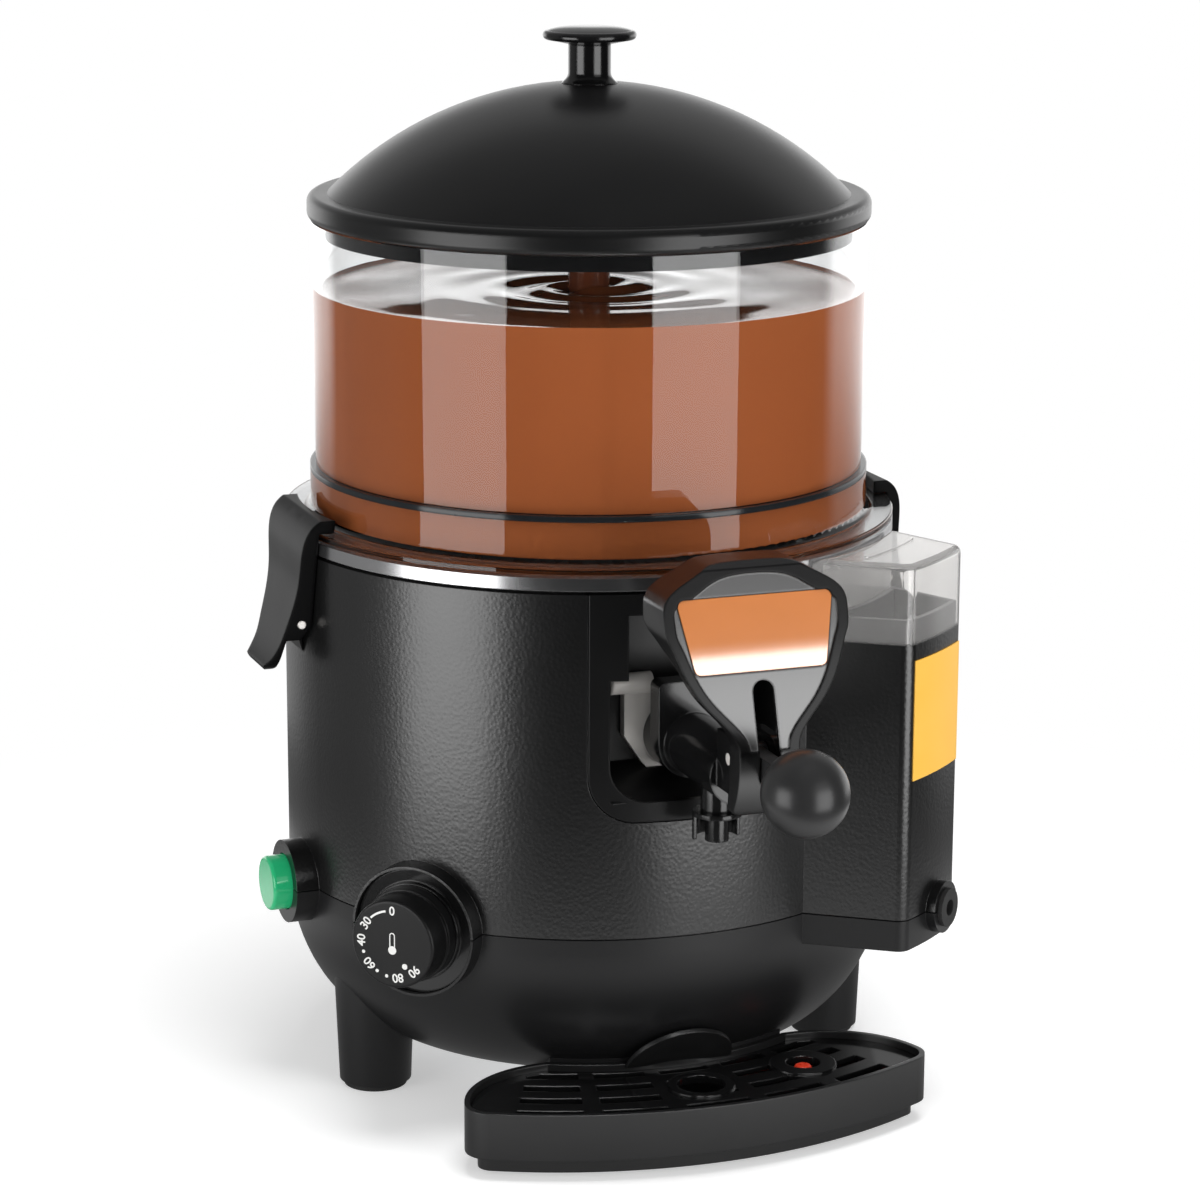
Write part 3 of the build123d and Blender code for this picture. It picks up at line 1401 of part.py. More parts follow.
# Tap cover: leaning face with a raised rim, flared head and narrow neck, open at the back
cowl_skin = cowl_blank(0.0)
cowl_core = cowl_blank(cowl_wall)
cowl_recess_space = cowl_face_recess()
with BuildPart() as tap_cover:
    add(cowl_skin)
    add(cowl_core, mode=Mode.SUBTRACT)
    add(cowl_recess_space, mode=Mode.SUBTRACT)
    with BuildSketch(front_plane(pivot_reach)):
        with Locations((0, (slot_low_z + slot_high_z) / 2)):
            SlotOverall(slot_high_z - slot_low_z, 2 * slot_half_width, rotation=90)
    extrude(amount=ball_reach - pivot_reach, mode=Mode.SUBTRACT)
    pocket_floor_lift = -cowl_recess - badge_depth
    extrude(badge_outline(pocket_floor_lift, 0.0), amount=2 * badge_depth, mode=Mode.SUBTRACT)
tap_cover.part.label = "tap_cover"
export_step(tap_cover.part, "parts/tap_cover.step")

# Badge: plain plate in the cover's shallow pocket
with BuildPart() as badge_panel:
    extrude(badge_outline(pocket_floor_lift, badge_gap), amount=badge_depth + badge_proud)
badge_panel.part.label = "badge_panel"
export_step(badge_panel.part, "parts/badge_panel.step")

# Latches: hollow levers that hook over the bowl's flange, each on a lug with a pin
with BuildPart() as left_latch:
    latch_body(latch_angles[0])
left_latch.part.label = "left_latch"
export_step(left_latch.part, "parts/left_latch.step")

with BuildPart() as right_latch:
    latch_body(latch_angles[1])
right_latch.part.label = "right_latch"
export_step(right_latch.part, "parts/right_latch.step")

with BuildPart() as latch_lugs:
    for angle in latch_angles:
        with BuildSketch(side_plane(angle)):
            with Locations((latch_pin_reach, latch_pin_z)):
                Circle(lug_nose_radius)
            with BuildLine():
                Polyline(
                    (body_radius + pin_gap, latch_pin_z - lug_height / 2),
                    (body_radius + pin_gap, latch_pin_z + lug_height / 2),
                    (latch_pin_reach, latch_pin_z + lug_nose_radius),
                    (latch_pin_reach, latch_pin_z - lug_nose_radius),
                    close=True,
                )
            make_face()
        extrude(amount=lug_half_width, both=True)
        disc(latch_pin_plane(angle), latch_pin_radius, 2 * latch_pin_half, Mode.SUBTRACT)
latch_lugs.part.label = "latch_lugs"
export_step(latch_lugs.part, "parts/latch_lugs.step")

with BuildPart() as latch_pins:
    for angle in latch_angles:
        disc(latch_pin_plane(angle), latch_pin_radius, 2 * latch_pin_half)
latch_pins.part.label = "latch_pins"
export_step(latch_pins.part, "parts/latch_pins.step")

# Drip tray: crescent trough with a lip below, a half-round tab and a tongue for its bracket
with BuildPart() as drip_tray:
    extrude(tray_outline(tray_face_z, 0.0), amount=tray_face_height)
    extrude(tray_outline(tray_bottom_z, tray_lip_inset), amount=tray_lip_height)
    inside_floor_z = tray_bottom_z + tray_floor
    trough = tray_outline(inside_floor_z, tray_lip_inset + tray_wall)
    extrude(trough, amount=tray_rim_z - inside_floor_z, mode=Mode.SUBTRACT)
    upper = tray_outline(tray_face_z + tray_floor, tray_wall + grid_ledge)
    extrude(upper, amount=tray_face_height, mode=Mode.SUBTRACT)
    mouth = tray_outline(grid_low_z, tray_wall)
    extrude(mouth, amount=tray_face_height, mode=Mode.SUBTRACT)
    with BuildSketch(tab_plane):
        Circle(tab_radius)
        with Locations((0, -tab_radius)):
            Rectangle(3 * tab_radius, 2 * tab_radius, mode=Mode.SUBTRACT)
    extrude(amount=tab_thickness)
    with BuildSketch(Plane.XY.offset(tray_tongue_low_z)):
        tongue_length = tray_back_radius - tray_tongue_reach + tray_wall
        with Locations((0, -tray_tongue_reach)):
            Rectangle(2 * tray_tongue_half, tongue_length, align=(Align.CENTER, Align.MAX))
    extrude(amount=tray_tongue_height)
drip_tray.part.label = "drip_tray"
export_step(drip_tray.part, "parts/drip_tray.step")

# Bracket: crescent block under the dish, with the slot that the tray's tongue slides into
with BuildPart() as tray_bracket:
    with BuildSketch(Plane.XY.offset(bracket_low_z)):
        Circle(tray_back_radius - slide_gap)
        Circle(bracket_back_radius, mode=Mode.SUBTRACT)
        with Locations((0, -tray_back_radius)):
            Rectangle(2 * tray_back_half, tray_back_radius, mode=Mode.INTERSECT)
    extrude(amount=dish_side_z - bracket_low_z)
    revolve(body_section(-pin_gap), axis=Axis.Z, mode=Mode.SUBTRACT)
    with BuildSketch(Plane.XY.offset(tray_tongue_low_z - seat_gap)):
        with Locations((0, -tray_back_radius)):
            slot_depth = 2 * (tray_back_radius - tray_tongue_reach + slide_gap)
            Rectangle(2 * (tray_tongue_half + slide_gap), slot_depth)
    extrude(amount=tray_tongue_height + 2 * seat_gap, mode=Mode.SUBTRACT)
tray_bracket.part.label = "tray_bracket"
export_step(tray_bracket.part, "parts/tray_bracket.step")

# Grid: slotted plate on the tray's ledge, with a ring round the cup hole and one round the float
with BuildPart() as drip_grid:
    extrude(tray_outline(grid_low_z, tray_wall + grid_gap), amount=grid_thickness)
    for x, reach in grid_rings:
        disc(Plane(origin=(x, -reach, grid_top_z)), cup_hole_radius + cup_ring_width, cup_ring_height)
    extrude(grid_slots(), amount=tray_face_height, mode=Mode.SUBTRACT)
    cup_hole = Plane(origin=(0, -cup_hole_reach, grid_low_z))
    disc(cup_hole, cup_hole_radius, tray_face_height, Mode.SUBTRACT)
    float_hole = Plane(origin=(float_x, -float_reach, grid_low_z))
    disc(float_hole, float_hole_radius, tray_face_height, Mode.SUBTRACT)
drip_grid.part.label = "drip_grid"
export_step(drip_grid.part, "parts/drip_grid.step")

# Float: disc on the tray's floor with a red stem that rises through the grid
with BuildPart() as tray_float:
    float_base_z = inside_floor_z + seat_gap
    float_base = Plane(origin=(float_x, -float_reach, float_base_z))
    disc(float_base, float_disc_radius, float_disc_height)
    disc(float_base, float_stem_radius, grid_top_z - float_base_z)
    fillet(tray_float.edges().filter_by(GeomType.CIRCLE).sort_by(Axis.Z)[-1], float_stem_radius / 2)
tray_float.part.label = "tray_float"
export_step(tray_float.part, "parts/tray_float.step")
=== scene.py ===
"""Looks of a counter-top hot chocolate dispenser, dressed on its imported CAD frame.

The frame gives every rigid piece at its real size. This script adds the finishes, the drink in the
bowl, the marks on the dial, the tap's spring, a studio and the camera. Lengths are in metres.
"""

import json
import logging
import math
from collections.abc import Callable, Sequence
from dataclasses import dataclass, field
from enum import Enum
from typing import ClassVar

import bpy
from mathutils import Euler, Matrix, Vector, noise


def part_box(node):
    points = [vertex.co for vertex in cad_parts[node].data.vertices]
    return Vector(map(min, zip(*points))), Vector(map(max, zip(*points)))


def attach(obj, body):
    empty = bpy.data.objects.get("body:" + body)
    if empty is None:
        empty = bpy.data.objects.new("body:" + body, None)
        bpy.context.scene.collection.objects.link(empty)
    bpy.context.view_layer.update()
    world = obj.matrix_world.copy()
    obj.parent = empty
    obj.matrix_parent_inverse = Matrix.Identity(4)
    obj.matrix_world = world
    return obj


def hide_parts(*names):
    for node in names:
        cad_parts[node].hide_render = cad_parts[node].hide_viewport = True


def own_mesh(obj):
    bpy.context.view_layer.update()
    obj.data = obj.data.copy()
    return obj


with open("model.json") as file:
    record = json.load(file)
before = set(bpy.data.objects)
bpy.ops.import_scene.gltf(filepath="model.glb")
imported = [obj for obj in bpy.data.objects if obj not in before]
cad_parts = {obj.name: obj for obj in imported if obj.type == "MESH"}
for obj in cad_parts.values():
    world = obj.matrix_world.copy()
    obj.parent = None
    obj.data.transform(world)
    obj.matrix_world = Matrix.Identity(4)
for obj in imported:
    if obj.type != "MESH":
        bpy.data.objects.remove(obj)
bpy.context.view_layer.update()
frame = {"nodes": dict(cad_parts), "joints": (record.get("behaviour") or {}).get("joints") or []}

log = logging.getLogger("dispenser")

Colour = tuple[float, float, float]
Point = tuple[float, float, float]
Span = tuple[float, float]
Face = tuple[int, ...]
Strip = list[tuple[Vector, Vector]]
Socket = bpy.types.NodeSocket

MM = 0.001
FULL_TURN = 2.0 * math.pi
WHITE = (1.0, 1.0, 1.0, 1.0)
# Sockets of a Mix node that blends colours. Their names are shared with its other sockets.
MIX_FACTOR, MIX_FIRST, MIX_SECOND, MIX_RESULT = 0, 6, 7, 2


class Grain(Enum):
    """Fine relief that a surface carries."""

    LEATHER = "pebbled cells of a moulded casing"
    MATT = "fine eroded plastic"
    POLISHED = "faint waviness of a smooth moulding"
    TURNED = "rings left by spinning sheet steel"
    LIQUID = "slow swirls in the drink"


class Ease(Enum):
    """How a value runs from one end of a span to the other."""

    STRAIGHT = "LINEAR"
    SOFT = "SMOOTHSTEP"


class NodeSketch:
    """Short handle on a node tree that adds and joins nodes."""

    def __init__(self, tree: bpy.types.NodeTree) -> None:
        """Keep the tree."""
        self.tree = tree

    def add(self, kind: str, sockets: dict | None = None, **settings: object) -> bpy.types.Node:
        """Add one node.

        Args:
            kind: Blender's identifier of the node.
            sockets: input name or index to its value, or to the output that feeds it.
            settings: properties of the node itself.

        Returns:
            The new node.
        """
        node = self.tree.nodes.new(kind)
        for key, value in settings.items():
            setattr(node, key, value)
        for key, value in (sockets or {}).items():
            if isinstance(value, Socket):
                self.join(value, node.inputs[key])
            else:
                node.inputs[key].default_value = value
        return node

    def join(self, source: Socket, target: Socket) -> None:
        """Link an output to an input."""
        self.tree.links.new(source, target)

    def arithmetic(self, operation: str, first: Socket, second: Socket | float) -> Socket:
        """Result of a Math node on two values."""
        return self.add("ShaderNodeMath", {0: first, 1: second}, operation=operation).outputs["Value"]

    def vectors(self, operation: str, result: str, *inputs: Socket | Point) -> Socket:
        """Result of a Vector Math node.

        Args:
            operation: what the node does.
            result: which output to take, Value or Vector.
            inputs: its vectors.

        Returns:
            The output that carries the result.
        """
        node = self.add("ShaderNodeVectorMath", dict(enumerate(inputs)), operation=operation)
        return node.outputs[result]

    def ramp(self, along: Socket, span: Span, values: Span, ease: Ease = Ease.SOFT) -> Socket:
        """Value that runs from one to another along a span, and stays level outside it.

        Args:
            along: what it runs along.
            span: where the change begins and ends.
            values: the value before it and the value after it.
            ease: how it runs between them.

        Returns:
            The output that carries the value.
        """
        ends = dict(zip(("From Min", "From Max", "To Min", "To Max"), (*span, *values)))
        node = self.add("ShaderNodeMapRange", {"Value": along, **ends}, interpolation_type=ease.value)
        return node.outputs["Result"]

    def blend(self, share: Socket, first: Socket, second: Socket) -> Socket:
        """Mix of two shaders, by the share of the second."""
        return self.add("ShaderNodeMixShader", {0: share, 1: first, 2: second}).outputs["Shader"]

    def white(self, kind: str, strength: Socket | float) -> Socket:
        """White light of a kind, Emission or Background."""
        node = self.add(f"ShaderNode{kind}", {"Color": WHITE, "Strength": strength})
        return node.outputs[kind]


def opaque(colour: Colour) -> tuple[float, float, float, float]:
    """Colour with full alpha."""
    return (*colour, 1.0)


@dataclass(frozen=True)
class Sag:
    """Bow of a flat surface: at the low level it faces down by the fall, at the high one not."""

    low: float
    high: float
    fall: float


@dataclass(frozen=True)
class Dulling:
    """Loss of shine along a direction, from none at the near distance to a share left at the far."""

    way: Point
    near: float
    far: float
    share: float


@dataclass(frozen=True)
class Finish:
    """One surface finish, and the node material that shows it.

    Colours are linear. Patches of the second colour lie over the first, and roughness runs between
    its two values with the same patches.
    """

    PATCH_DETAIL: ClassVar[float] = 4.0
    GRAIN_DETAIL: ClassVar[float] = 3.0
    RING_DETAIL: ClassVar[float] = 2.0
    CELL_SOFTNESS: ClassVar[float] = 0.6
    EDGE_SAMPLES: ClassVar[int] = 4

    name: str
    slot: str
    tint: Colour
    shade: Colour
    patch: float
    roughness: Span
    grain: Grain
    pitch: float
    relief: float
    edge: float = 0.4 * MM
    metallic: float = 0.0
    transmission: float = 0.0
    ior: float = 1.5
    coat: float = 0.0
    coat_roughness: float = 0.05
    glow: float = 0.0
    sag: Sag | None = None
    dull: Dulling | None = None

    def build(self) -> bpy.types.Material:
        """Make the node material.

        Returns:
            The material, with colour, roughness and bump from its nodes.
        """
        material = bpy.data.materials.new(self.name)
        material.use_nodes = True
        sketch = NodeSketch(material.node_tree)
        sockets = material.node_tree.nodes["Principled BSDF"].inputs
        for socket, value in self._constants().items():
            sockets[socket].default_value = value
        place = sketch.add("ShaderNodeTexCoord").outputs["Object"]
        patches = self._noise(sketch, place, self.patch, self.PATCH_DETAIL)
        tone = sketch.add(
            "ShaderNodeMix",
            {MIX_FACTOR: patches, MIX_FIRST: opaque(self.tint), MIX_SECOND: opaque(self.shade)},
            data_type="RGBA",
        )
        sketch.join(tone.outputs[MIX_RESULT], sockets["Base Color"])
        rough = sketch.ramp(patches, (0.0, 1.0), self.roughness, Ease.STRAIGHT)
        sketch.join(rough, sockets["Roughness"])
        facing = self._facing(sketch, place)
        sketch.join(facing, sockets["Normal"])
        if self.coat:
            sketch.join(facing, sockets["Coat Normal"])
        if self.dull:
            self._take_shine(sketch, place, sockets["Specular IOR Level"])
        return material

    def _constants(self) -> dict[str, object]:
        """Values that are the same all over the surface.

        Returns:
            The name of each socket and its value.
        """
        values = {
            "Metallic": self.metallic,
            "Transmission Weight": self.transmission,
            "IOR": self.ior,
            "Coat Weight": self.coat,
            "Coat Roughness": self.coat_roughness,
        }
        if self.glow:
            values |= {"Emission Color": opaque(self.tint), "Emission Strength": self.glow}
        return values

    @staticmethod
    def _noise(sketch: NodeSketch, place: Socket, size: float, detail: float) -> Socket:
        """Cloudy noise with spots of a size in metres."""
        spots = {"Vector": place, "Scale": 1.0 / size, "Detail": detail}
        return sketch.add("ShaderNodeTexNoise", spots).outputs["Fac"]

    def _facing(self, sketch: NodeSketch, place: Socket) -> Socket:
        """Direction that the surface faces, with its rounded edges, its sag and its grain.

        Args:
            sketch: tree that the nodes go in.
            place: coordinates of the surface.

        Returns:
            The output that carries the direction.
        """
        relief = {"Height": self._height(sketch, place), "Distance": self.relief}
        bump = sketch.add("ShaderNodeBump", relief)
        if self.edge:
            rounded = sketch.add("ShaderNodeBevel", {"Radius": self.edge}, samples=self.EDGE_SAMPLES)
            sketch.join(self._sagged(sketch, place, rounded.outputs["Normal"]), bump.inputs["Normal"])
        return bump.outputs["Normal"]

    def _sagged(self, sketch: NodeSketch, place: Socket, normal: Socket) -> Socket:
        """Direction that a bowed surface faces.

        Args:
            sketch: tree that the nodes go in.
            place: coordinates of the surface.
            normal: direction that the flat surface faces.

        Returns:
            The output that carries the direction.
        """
        if not self.sag:
            return normal
        level = sketch.add("ShaderNodeSeparateXYZ", {"Vector": place}).outputs["Z"]
        drop = sketch.ramp(level, (self.sag.low, self.sag.high), (-self.sag.fall, 0.0))
        down = sketch.add("ShaderNodeCombineXYZ", {"Z": drop}).outputs["Vector"]
        return sketch.vectors("NORMALIZE", "Vector", sketch.vectors("ADD", "Vector", normal, down))

    def _take_shine(self, sketch: NodeSketch, place: Socket, shine: Socket) -> None:
        """Take the shine down along the direction of the dulling.

        Args:
            sketch: tree that the nodes go in.
            place: coordinates of the surface.
            shine: input that sets the shine, at its full value.
        """
        depth = sketch.vectors("DOT_PRODUCT", "Value", place, self.dull.way)
        full = shine.default_value
        left = (full, full * self.dull.share)
        sketch.join(sketch.ramp(depth, (self.dull.near, self.dull.far), left, Ease.STRAIGHT), shine)

    def _height(self, sketch: NodeSketch, place: Socket) -> Socket:
        """Height of the grain.

        Args:
            sketch: tree that the nodes go in.
            place: coordinates of the surface.

        Returns:
            The output that carries the height.
        """
        if self.grain is Grain.LEATHER:
            cells = {"Vector": place, "Scale": 1.0 / self.pitch, "Smoothness": self.CELL_SOFTNESS}
            pebbles = sketch.add("ShaderNodeTexVoronoi", cells, feature="SMOOTH_F1")
            return pebbles.outputs["Distance"]
        if self.grain is Grain.TURNED:
            parts = sketch.add("ShaderNodeSeparateXYZ", {"Vector": place}).outputs
            flat = sketch.add("ShaderNodeCombineXYZ", {"X": parts["X"], "Y": parts["Y"]})
            reach = sketch.vectors("LENGTH", "Value", flat.outputs["Vector"])
            rings = sketch.add("ShaderNodeCombineXYZ", {"X": reach, "Y": parts["Z"]})
            return self._noise(sketch, rings.outputs["Vector"], self.pitch, self.RING_DETAIL)
        return self._noise(sketch, place, self.pitch, self.GRAIN_DETAIL)


MOULDED_BLACK: Colour = (0.004, 0.004, 0.0042)
WORN_BLACK: Colour = (0.006, 0.006, 0.0062)
DOWN: Point = (0.0, 0.0, -1.0)
BOWL_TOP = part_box("bowl")[1].z
COVER_TILT = math.radians(17.0)
COVER_WAY: Point = (0.0, -math.cos(COVER_TILT), math.sin(COVER_TILT))
COVER_FACE = max(corner.co.dot(COVER_WAY) for corner in frame["nodes"]["tap_cover"].data.vertices)

CASING = Finish(
    name="grained_casing", slot="shell_black", tint=(0.002, 0.002, 0.0021),
    shade=(0.003, 0.003, 0.0032), patch=40 * MM, roughness=(0.27, 0.32), grain=Grain.LEATHER,
    pitch=1.6 * MM, relief=0.06 * MM, ior=1.8,
)
DISH = Finish(
    name="smooth_dish", slot="shell_black", tint=(0.007, 0.007, 0.0075),
    shade=(0.010, 0.010, 0.0105), patch=50 * MM, roughness=(0.32, 0.40), grain=Grain.MATT,
    pitch=0.6 * MM, relief=0.02 * MM,
)
SATIN = Finish(
    name="satin_moulding", slot="satin_black", tint=MOULDED_BLACK, shade=WORN_BLACK, patch=30 * MM,
    roughness=(0.30, 0.38), grain=Grain.MATT, pitch=0.5 * MM, relief=0.02 * MM, edge=1.0 * MM,
    ior=1.4,
)
TRAY = Finish(
    name="tray_moulding", slot="satin_black", tint=(0.009, 0.009, 0.0093),
    shade=(0.012, 0.012, 0.0124), patch=30 * MM, roughness=(0.26, 0.34), grain=Grain.MATT,
    pitch=0.5 * MM, relief=0.02 * MM, edge=0.8 * MM, ior=1.7,
)
LID = Finish(
    name="lid_moulding", slot="satin_black", tint=MOULDED_BLACK, shade=WORN_BLACK, patch=40 * MM,
    roughness=(0.28, 0.34), grain=Grain.MATT, pitch=0.5 * MM, relief=0.02 * MM,
    dull=Dulling(way=DOWN, near=-BOWL_TOP - 0.2 * MM, far=-BOWL_TOP + 0.4 * MM, share=0.06),
)
LATCH = Finish(
    name="latch_moulding", slot="satin_black", tint=MOULDED_BLACK, shade=WORN_BLACK, patch=30 * MM,
    roughness=(0.30, 0.36), grain=Grain.MATT, pitch=0.5 * MM, relief=0.02 * MM, edge=2.0 * MM,
    ior=1.14,
)
COWL = Finish(
    name="cover_moulding", slot="satin_black", tint=MOULDED_BLACK, shade=WORN_BLACK, patch=30 * MM,
    roughness=(0.20, 0.25), grain=Grain.MATT, pitch=0.5 * MM, relief=0.01 * MM, edge=1.2 * MM,
    ior=2.1, sag=Sag(low=0.186, high=0.250, fall=0.16),
    dull=Dulling(way=COVER_WAY, near=COVER_FACE - 0.6 * MM, far=COVER_FACE - 0.2 * MM, share=0.15),
)
GLOSS = Finish(
    name="gloss_moulding", slot="gloss_black", tint=(0.005, 0.005, 0.0052),
    shade=(0.008, 0.008, 0.0083), patch=25 * MM, roughness=(0.10, 0.16), grain=Grain.POLISHED,
    pitch=6 * MM, relief=0.02 * MM, edge=1.0 * MM, ior=1.6,
)
BALL = Finish(
    name="lever_ball", slot="gloss_black", tint=(0.018, 0.018, 0.0184),
    shade=(0.024, 0.024, 0.0244), patch=12 * MM, roughness=(0.26, 0.34), grain=Grain.MATT,
    pitch=0.8 * MM, relief=0.02 * MM,
)
CLEAR = Finish(
    name="clear_moulding", slot="clear_plastic", tint=(0.985, 0.99, 0.99),
    shade=(0.97, 0.98, 0.985), patch=60 * MM, roughness=(0.0, 0.02), grain=Grain.POLISHED,
    pitch=30 * MM, relief=0.01 * MM, edge=0.0, transmission=1.0, ior=1.49,
)
CLOUDED = Finish(
    name="clouded_moulding", slot="clear_plastic", tint=(0.92, 0.91, 0.90),
    shade=(0.86, 0.85, 0.84), patch=30 * MM, roughness=(0.02, 0.06), grain=Grain.POLISHED,
    pitch=30 * MM, relief=0.01 * MM, edge=0.0, transmission=0.92, ior=1.49,
)
TURNED_STEEL = Finish(
    name="spun_steel", slot="polished_steel", tint=(0.72, 0.72, 0.73), shade=(0.62, 0.62, 0.63),
    patch=20 * MM, roughness=(0.16, 0.28), grain=Grain.TURNED, pitch=0.5 * MM, relief=0.01 * MM,
    metallic=1.0,
)
BRIGHT_STEEL = Finish(
    name="bright_steel", slot="polished_steel", tint=(0.80, 0.80, 0.81), shade=(0.70, 0.70, 0.71),
    patch=8 * MM, roughness=(0.08, 0.16), grain=Grain.POLISHED, pitch=3 * MM, relief=0.01 * MM,
    metallic=1.0,
)
SATIN_STEEL = Finish(
    name="satin_steel", slot="polished_steel", tint=(0.86, 0.83, 0.79), shade=(0.78, 0.75, 0.71),
    patch=6 * MM, roughness=(0.30, 0.38), grain=Grain.MATT, pitch=0.4 * MM, relief=0.01 * MM,
    edge=0.8 * MM, metallic=0.25, coat=0.6,
)
WIRE = Finish(
    name="drawn_wire", slot="spring_steel", tint=(0.52, 0.52, 0.54), shade=(0.40, 0.40, 0.42),
    patch=4 * MM, roughness=(0.22, 0.34), grain=Grain.MATT, pitch=0.3 * MM, relief=0.01 * MM,
    metallic=1.0,
)
RUBBER = Finish(
    name="moulded_rubber", slot="rubber_black", tint=(0.014, 0.014, 0.014),
    shade=(0.022, 0.022, 0.022), patch=15 * MM, roughness=(0.55, 0.75), grain=Grain.MATT,
    pitch=0.4 * MM, relief=0.04 * MM,
)
SEAM = Finish(
    name="seam_rubber", slot="rubber_black", tint=(0.010, 0.012, 0.014),
    shade=(0.016, 0.018, 0.020), patch=15 * MM, roughness=(0.08, 0.14), grain=Grain.POLISHED,
    pitch=4 * MM, relief=0.01 * MM, edge=1.2 * MM,
)
BRONZE = Finish(
    name="bronze_film", slot="bronze_badge", tint=(0.50, 0.150, 0.020), shade=(0.54, 0.165, 0.028),
    patch=14 * MM, roughness=(0.30, 0.40), grain=Grain.MATT, pitch=0.3 * MM, relief=0.005 * MM,
    ior=1.05, coat=1.0, coat_roughness=0.16, sag=Sag(low=0.2270, high=0.2390, fall=0.12),
)
AMBER = Finish(
    name="amber_film", slot="amber_panel", tint=(0.95, 0.51, 0.060), shade=(0.98, 0.55, 0.085),
    patch=18 * MM, roughness=(0.30, 0.42), grain=Grain.MATT, pitch=0.4 * MM, relief=0.01 * MM,
)
GREEN = Finish(
    name="lit_button", slot="green_button", tint=(0.008, 0.30, 0.11), shade=(0.03, 0.42, 0.19),
    patch=9 * MM, roughness=(0.10, 0.20), grain=Grain.POLISHED, pitch=4 * MM, relief=0.02 * MM,
    glow=0.35, coat=0.5,
)
RED = Finish(
    name="red_float", slot="red_float", tint=(0.88, 0.060, 0.024), shade=(0.80, 0.050, 0.020),
    patch=6 * MM, roughness=(0.22, 0.32), grain=Grain.POLISHED, pitch=2 * MM, relief=0.01 * MM,
)
COCOA = Finish(
    name="milk_chocolate", slot="stirrer_plastic", tint=(0.270, 0.079, 0.026),
    shade=(0.250, 0.071, 0.023), patch=60 * MM, roughness=(0.30, 0.40), grain=Grain.LIQUID,
    pitch=25 * MM, relief=0.05 * MM, edge=0.0, ior=1.05,
)
COCOA_TOP = Finish(
    name="chocolate_top", slot="stirrer_plastic", tint=(0.30, 0.092, 0.034),
    shade=(0.25, 0.074, 0.026), patch=40 * MM, roughness=(0.03, 0.08), grain=Grain.LIQUID,
    pitch=25 * MM, relief=0.05 * MM, edge=0.0, ior=1.38,
)
COCOA_FILM = Finish(
    name="cocoa_film", slot="stirrer_plastic", tint=(0.20, 0.055, 0.022),
    shade=(0.12, 0.032, 0.013), patch=6 * MM, roughness=(0.12, 0.24), grain=Grain.LIQUID,
    pitch=5 * MM, relief=0.08 * MM, ior=1.35,
)
DRIVE = Finish(
    name="grey_coat", slot="drive_grey", tint=(0.30, 0.31, 0.32), shade=(0.25, 0.26, 0.27),
    patch=20 * MM, roughness=(0.40, 0.55), grain=Grain.MATT, pitch=0.5 * MM, relief=0.03 * MM,
)
SWITCHGEAR = Finish(
    name="switch_housing", slot="switch_plastic", tint=(0.060, 0.060, 0.064),
    shade=(0.080, 0.080, 0.084), patch=12 * MM, roughness=(0.35, 0.50), grain=Grain.MATT,
    pitch=0.4 * MM, relief=0.03 * MM,
)
INK = Finish(
    name="white_ink", slot="switch_plastic", tint=(0.82, 0.82, 0.80), shade=(0.76, 0.76, 0.74),
    patch=3 * MM, roughness=(0.45, 0.60), grain=Grain.MATT, pitch=0.2 * MM, relief=0.01 * MM,
    edge=0.0,
)


class Palette:
    """Materials made so far, one for each finish."""

    _made: ClassVar[dict[Finish, bpy.types.Material]] = {}

    @classmethod
    def material(cls, finish: Finish) -> bpy.types.Material:
        """Material of a finish, made at its first use.

        Args:
            finish: the finish.

        Returns:
            Its material.
        """
        if finish not in cls._made:
            cls._made[finish] = finish.build()
        return cls._made[finish]

    @classmethod
    def made(cls) -> list[bpy.types.Material]:
        """Every material made so far."""
        return list(cls._made.values())


def outward(angle: float) -> Vector:
    """Level direction at an angle in degrees from the front, positive towards +X."""
    turn = math.radians(angle)
    return Vector((math.sin(turn), -math.cos(turn), 0.0))


def joint(name: str) -> dict:
    """Joint of the frame by its name."""
    return next(row for row in frame["joints"] if row["name"] == name)


def radii_at(node: str, height: float, reach: float = 0.2 * MM) -> list[float]:
    """Distances from the body's axis of a node's corners near a height.

    Args:
        node: name of the CAD node.
        height: level to look at.
        reach: how far above or below it a corner may lie.

    Returns:
        The distances, smallest first.
    """
    corners = (corner.co for corner in frame["nodes"][node].data.vertices)
    return sorted(co.xy.length for co in corners if abs(co.z - height) <= reach)


def dress(finish: Finish, *nodes: str) -> None:
    """Give CAD nodes a finish.

    Args:
        finish: the finish.
        nodes: names of the nodes.
    """
    for node in nodes:
        slots = frame["nodes"][node].data.materials
        slots.clear()
        slots.append(Palette.material(finish))
        log.info("%s dressed as %s", node, finish.name)


def new_piece(
    name: str,
    corners: Sequence[Vector | Point],
    faces: Sequence[Face],
    body: str,
    finish: Finish,
    sharp: float = 40.0,
) -> bpy.types.Object:
    """Make a mesh piece that rides on a body.

    Args:
        name: name of the piece.
        corners: its points.
        faces: corner numbers of each face.
        body: CAD body that it moves with.
        finish: its finish.
        sharp: edges that turn by more than this many degrees stay sharp.

    Returns:
        The piece.
    """
    mesh = bpy.data.meshes.new(name)
    mesh.from_pydata([tuple(corner) for corner in corners], [], faces)
    mesh.validate()
    mesh.shade_smooth()
    mesh.set_sharp_from_angle(angle=math.radians(sharp))
    mesh.materials.append(Palette.material(finish))
    piece = bpy.data.objects.new(name, mesh)
    bpy.context.scene.collection.objects.link(piece)
    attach(piece, body)
    log.info("%s rides on %s", name, body)
    return piece


